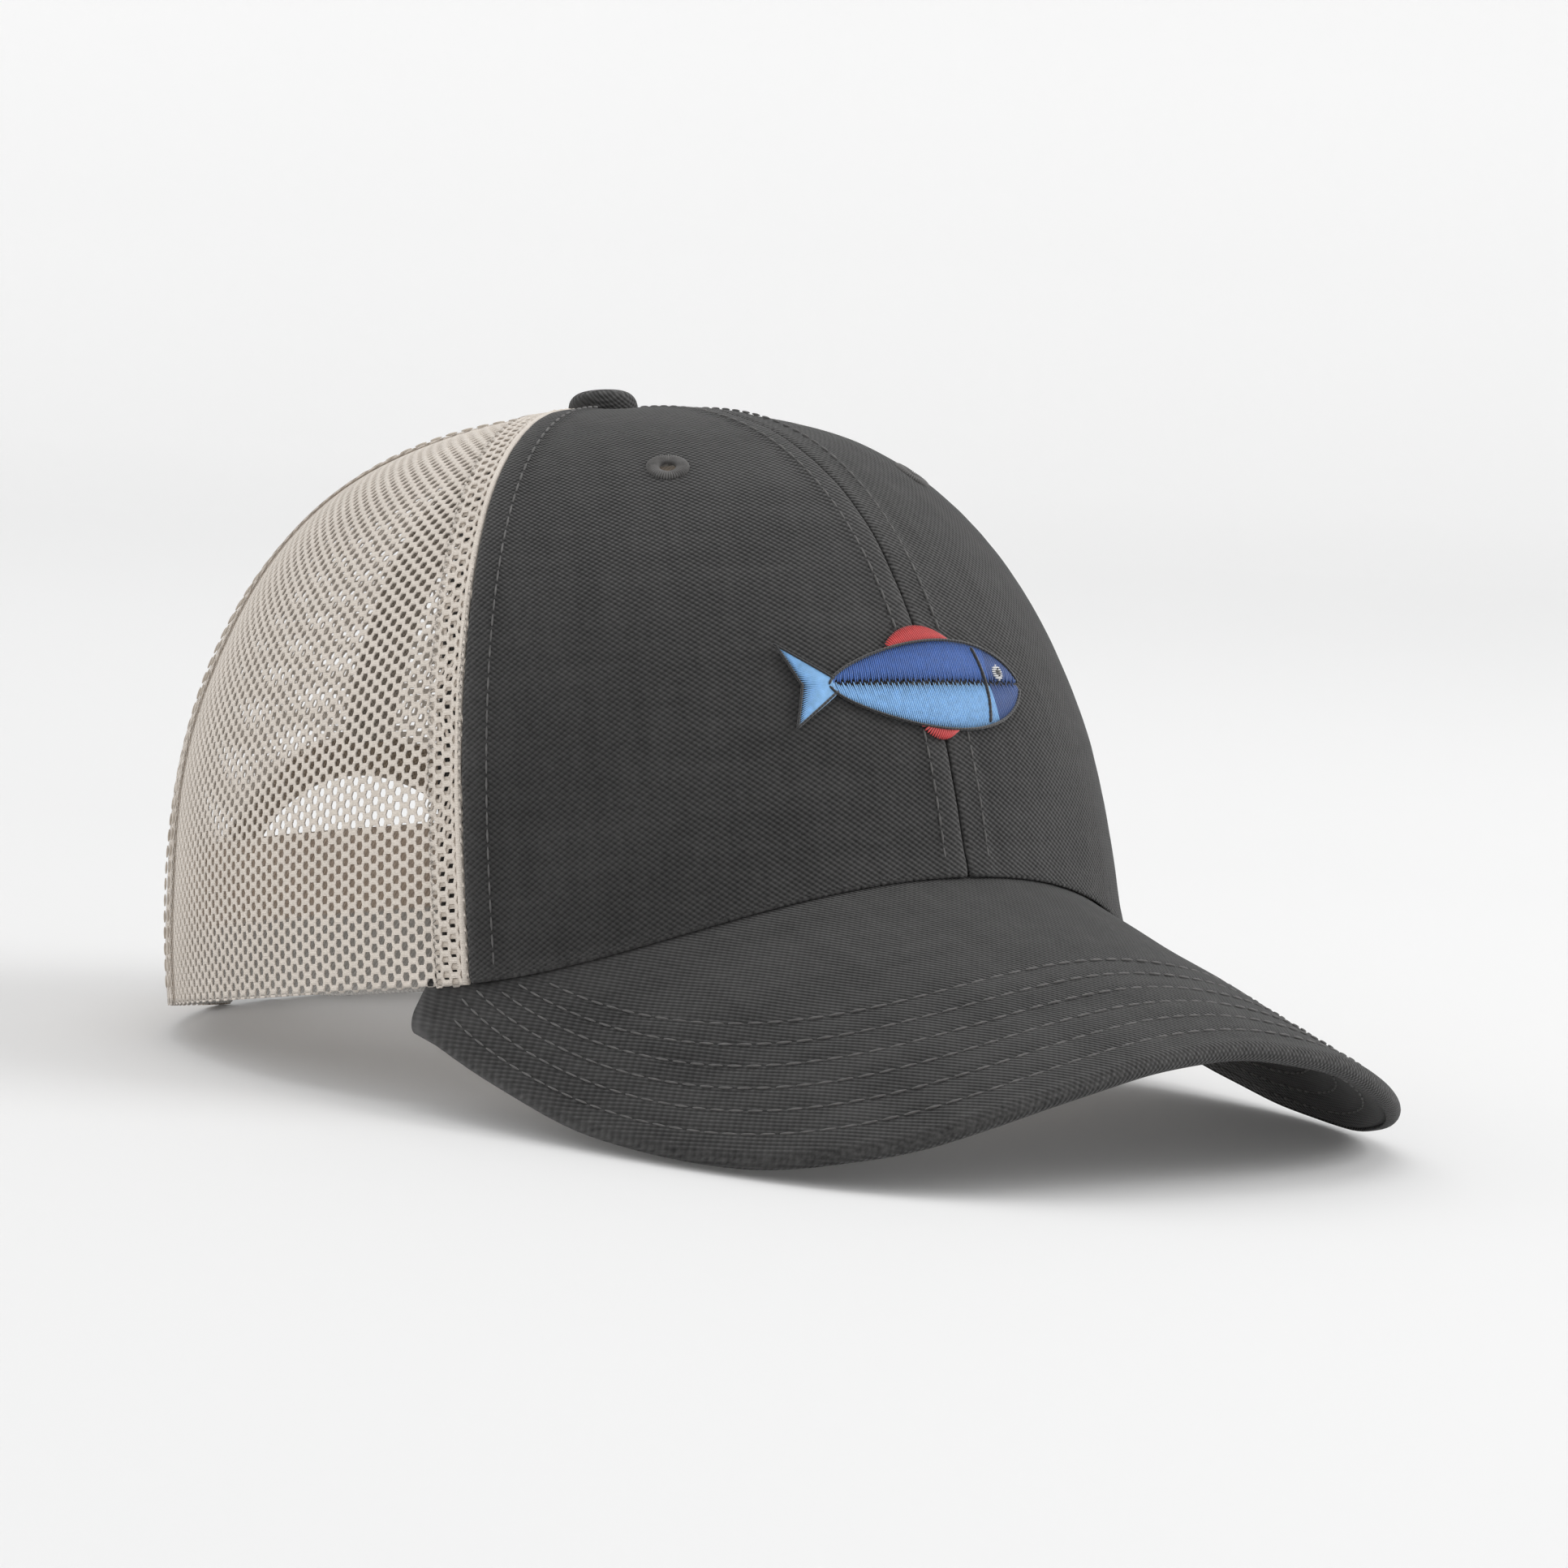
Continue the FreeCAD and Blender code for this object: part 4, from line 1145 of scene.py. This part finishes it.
MOTIF_MIDDLE = 50.5 * MM
BODY_LONG, BODY_TALL = 22.0 * MM, 8.0 * MM
HEAD_FROM, GILL_AT, TAIL_HALF, SHORTEST = 13.7 * MM, 12.0 * MM, 7.2 * MM, 0.3 * MM


def thread_finish(name, colour):
    finish = Finish(name, colour, 0.45, Sheen_Weight=0.4, Anisotropic=0.5)
    patchy = finish.solid_speckle(900.0)
    finish.feed("Base Color", finish.blend(patchy, shade_of(colour, 0.7), shade_of(colour, 1.35)))
    return finish.material


def front_spot(x, z, depth):
    """A place on the front, x to the wearer's left and z above the opening."""
    rise = rise_at(0.0, z)
    angle = -x / width_per_turn(0.0, rise)
    place, normal = crown(angle, rise_at(angle, z), depth)
    return STAND @ place, OUTWARD @ normal


def satin(name, strokes, material, depth=-0.75 * MM, radius=0.27 * MM):
    """One thread for each stroke, from its first to its second (x, z) place."""
    work = bmesh.new()
    for (x0, z0), (x1, z1) in strokes:
        start, _ = front_spot(x0, z0, depth)
        end, _ = front_spot(x1, z1, depth)
        middle, normal = front_spot((x0 + x1) / 2, (z0 + z1) / 2, depth - 0.1 * MM)
        reach = end - start
        if reach.length > SHORTEST:
            place = (start + end) / 2 * 0.5 + middle * 0.5
            lay_threads(work, [(place, reach.normalized(), normal)], reach.length, radius, 8)
    piece = finish_piece(name, work, material, "cap")
    return piece


def body_half(x):
    """The fish's half height at x, fuller towards the head."""
    share = max(1 - (x / BODY_LONG) ** 2, 0.0)
    return BODY_TALL * share**0.62 * (1 + 0.22 * x / BODY_LONG)


def spaced(low, high, pitch=0.42 * MM):
    count = max(int((high - low) / pitch), 1)
    return [low + (high - low) * i / count for i in range(count + 1)]


def fin(first, last, arc, tall, way, sweep):
    """Strokes of a fin that stands on the back, way 1, or hangs from the belly, way -1."""
    strokes = []
    for x in spaced(first, last):
        stands = tall * math.sin(math.pi * (x - first) / arc) ** 0.6
        edge = MOTIF_MIDDLE + way * body_half(x)
        strokes.append(((x - sweep, edge + way * stands), (x, edge - way * 0.2 * MM)))
    return strokes


back_strokes, belly_strokes, head_strokes, tail_strokes = [], [], [], []
for i, x in enumerate(spaced(-BODY_LONG * 0.98, BODY_LONG * 0.98)):
    half = body_half(x)
    split = MOTIF_MIDDLE + 0.6 * MM + 0.35 * MM * math.sin(i * 2.4)
    inner = x - 0.4 * MM
    above = ((x, MOTIF_MIDDLE + half), (inner, split))
    below = ((inner, split - 0.3 * MM), (x, MOTIF_MIDDLE - half))
    if x > HEAD_FROM:
        head_strokes += [above, below]
    else:
        back_strokes.append(above)
        belly_strokes.append(below)
fin_strokes = fin(-8 * MM, 6 * MM, arc=14.5 * MM, tall=2.94 * MM, way=1, sweep=1.2 * MM)
fin_strokes += fin(-4 * MM, 3 * MM, arc=7.5 * MM, tall=2.04 * MM, way=-1, sweep=1.6 * MM)
for lift in spaced(-TAIL_HALF, TAIL_HALF):
    notch = 2.6 * MM * (1 - abs(lift) / TAIL_HALF)
    tip = (-BODY_LONG - 7.4 * MM + notch, MOTIF_MIDDLE + lift)
    tail_strokes.append((tip, (-BODY_LONG + 1.2 * MM, MOTIF_MIDDLE + lift * 0.2)))
satin("motif_back", back_strokes, thread_finish("blue_thread", (0.03, 0.11, 0.38)))
light_blue = thread_finish("light_blue_thread", (0.2, 0.42, 0.72))
satin("motif_belly", belly_strokes, light_blue)
satin("motif_head", head_strokes, thread_finish("deep_blue_thread", (0.022, 0.07, 0.24)))
satin("motif_fins", fin_strokes, thread_finish("red_thread", (0.5, 0.03, 0.03)))
satin("motif_tail", tail_strokes, light_blue)
black_thread = thread_finish("black_thread", (0.008, 0.008, 0.009))


def outline_path(sign):
    def path(share):
        x = BODY_LONG * (2 * share - 1) * 0.995
        return front_spot(x, MOTIF_MIDDLE + sign * body_half(x), -0.95 * MM)
    return path


def gill_path(share):
    lean = (share - 0.5) * 2
    x = GILL_AT - 1.2 * MM * lean * lean
    return front_spot(x, MOTIF_MIDDLE + lean * body_half(GILL_AT) * 0.92, -1.1 * MM)


TAIL_ROOT, TAIL_TIP, TAIL_NOTCH = (1.0, 1.3), (-7.6, 7.4), (-5.0, 0.0)
tail_half = [(TAIL_ROOT, 1), (TAIL_TIP, 1), (TAIL_NOTCH, 1)]
tail_corners = [
    (-BODY_LONG + back * MM, way * up * MM)
    for (back, up), way in tail_half + [(TAIL_TIP, -1), (TAIL_ROOT, -1)]
]


def tail_path(share):
    place = min(share * 4, 3.999)
    i = int(place)
    (x0, z0), (x1, z1) = tail_corners[i], tail_corners[i + 1]
    part = place - i
    return front_spot(x0 + (x1 - x0) * part, MOTIF_MIDDLE + z0 + (z1 - z0) * part, -0.95 * MM)


outline = sew(
    "motif_outline", [outline_path(1), outline_path(-1), gill_path, tail_path], black_thread,
    pitch=0.75 * MM, length=1.5 * MM, radius=0.36 * MM,
)
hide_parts("embroidered_motif")
EYE_ACROSS, EYE_UP = 16.2 * MM, MOTIF_MIDDLE + 2.2 * MM
for label, radius, depth, material in (
    ("motif_eye", 1.35 * MM, -1.05 * MM, thread_finish("white_thread", (0.75, 0.75, 0.74))),
    ("motif_pupil", 0.62 * MM, -1.4 * MM, black_thread),
):
    rows = []
    for lift in spaced(-radius, radius, 0.36 * MM):
        half = math.sqrt(max(radius**2 - lift**2, 0.0)) + 0.16 * MM
        rows.append(((EYE_ACROSS - half, EYE_UP + lift), (EYE_ACROSS + half, EYE_UP + lift)))
    satin(label, rows, material, depth, 0.24 * MM)

# ---- table, light and camera --------------------------------------------------------------
# A pale bowl of a studio: the floor runs up into the walls all round, under broad soft light.

BOWL = (
    (0.0, 0.0), (1.0, 0.0), (2.6, 0.0), (3.2, 0.03), (3.8, 0.2), (4.2, 0.6), (4.4, 1.2), (4.45, 2.6),
)
work = spin_round(BOWL, 64, 1 * MM)
face_out(work, lambda point: Vector((0, 0, 1)) if point.z < 0.02 else -point)
paper = Finish("studio_paper", (0.86, 0.86, 0.86), 0.95)
# Painted light: the backdrop is darker near the cap and paler far off, to even out the lamps' falloff, and it
# glows faintly, more far off, to lift the cast shadows and brighten the walls.
spot = paper.node("ShaderNodeTexCoord", {}, {}, "Object")
far_away = paper.node("ShaderNodeVectorMath", {"operation": "LENGTH"}, {0: spot}, 1)
painted_light_share = paper.ramp(far_away, 0.5, 4.0)
paper.feed("Base Color", paper.blend(painted_light_share, (0.745, 0.745, 0.745), (0.9, 0.9, 0.9)))
paper.shader.inputs["Emission Strength"].default_value = 1.0
paper.feed("Emission Color", paper.blend(painted_light_share, (0.05, 0.05, 0.05), (0.22, 0.22, 0.22)))
studio = finish_piece("studio_floor", work, paper.material, None)
studio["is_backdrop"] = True

world = bpy.data.worlds.new("studio")
world.use_nodes = True
sky = world.node_tree.nodes["Background"]
sky.inputs["Color"].default_value = (1, 1, 1, 1)
sky.inputs["Strength"].default_value = 0.6
bpy.context.scene.world = world


def soft_light(name, place, aim, size, power):
    data = bpy.data.lights.new(name, "AREA")
    data.size, data.energy = size, power
    lamp = bpy.data.objects.new(name, data)
    lamp.location = place
    lamp.rotation_mode = "QUATERNION"
    lamp.rotation_quaternion = (Vector(aim) - Vector(place)).to_track_quat("-Z", "Y")
    bpy.context.scene.collection.objects.link(lamp)


soft_light("key_light", (1.25, -1.05, 1.25), aim=(0, -0.02, 0.06), size=1.2, power=19)
soft_light("fill_light", (-1.7, -0.4, 1.2), aim=(0, 0, 0.06), size=1.4, power=3)
soft_light("top_light", (0.1, 0.1, 2.2), aim=(0, 0, 0), size=1.6, power=9)
soft_light("back_light", (-0.3, 1.6, 1.6), aim=(0, 0, 0.06), size=1.4, power=4)

AZIMUTH, ELEVATION, ROLL = (math.radians(a) for a in (-38.56, -2.363, -2.518))
DISTANCE, SIDE_SHIFT, UP_SHIFT, FOCAL = 1.043, 26.8 * MM, 38.3 * MM, 125.4
level_share = math.cos(ELEVATION)
back = Vector((
    math.sin(AZIMUTH) * level_share, -math.cos(AZIMUTH) * level_share, math.sin(ELEVATION),
))
level = (-back).cross(Vector((0, 0, 1))).normalized()
upright = level.cross(-back)
right = math.cos(ROLL) * level + math.sin(ROLL) * upright
top = -math.sin(ROLL) * level + math.cos(ROLL) * upright
look = Matrix((right, top, back)).transposed().to_4x4()
camera_data = bpy.data.cameras.new("camera")
camera_data.lens = FOCAL
camera_data.sensor_width = 36.0
camera = bpy.data.objects.new("camera", camera_data)
stand_off = right * SIDE_SHIFT + top * UP_SHIFT + back * DISTANCE
camera.matrix_world = STAND @ Matrix.Translation(stand_off) @ look
bpy.context.scene.collection.objects.link(camera)
bpy.context.scene.camera = camera
bpy.context.scene.view_settings.view_transform = "Standard"

bpy.context.view_layer.update()
boxes = {"cad": cad_box, "visual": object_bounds()}
{name: [list(corner) for corner in box] for name, box in boxes.items()}
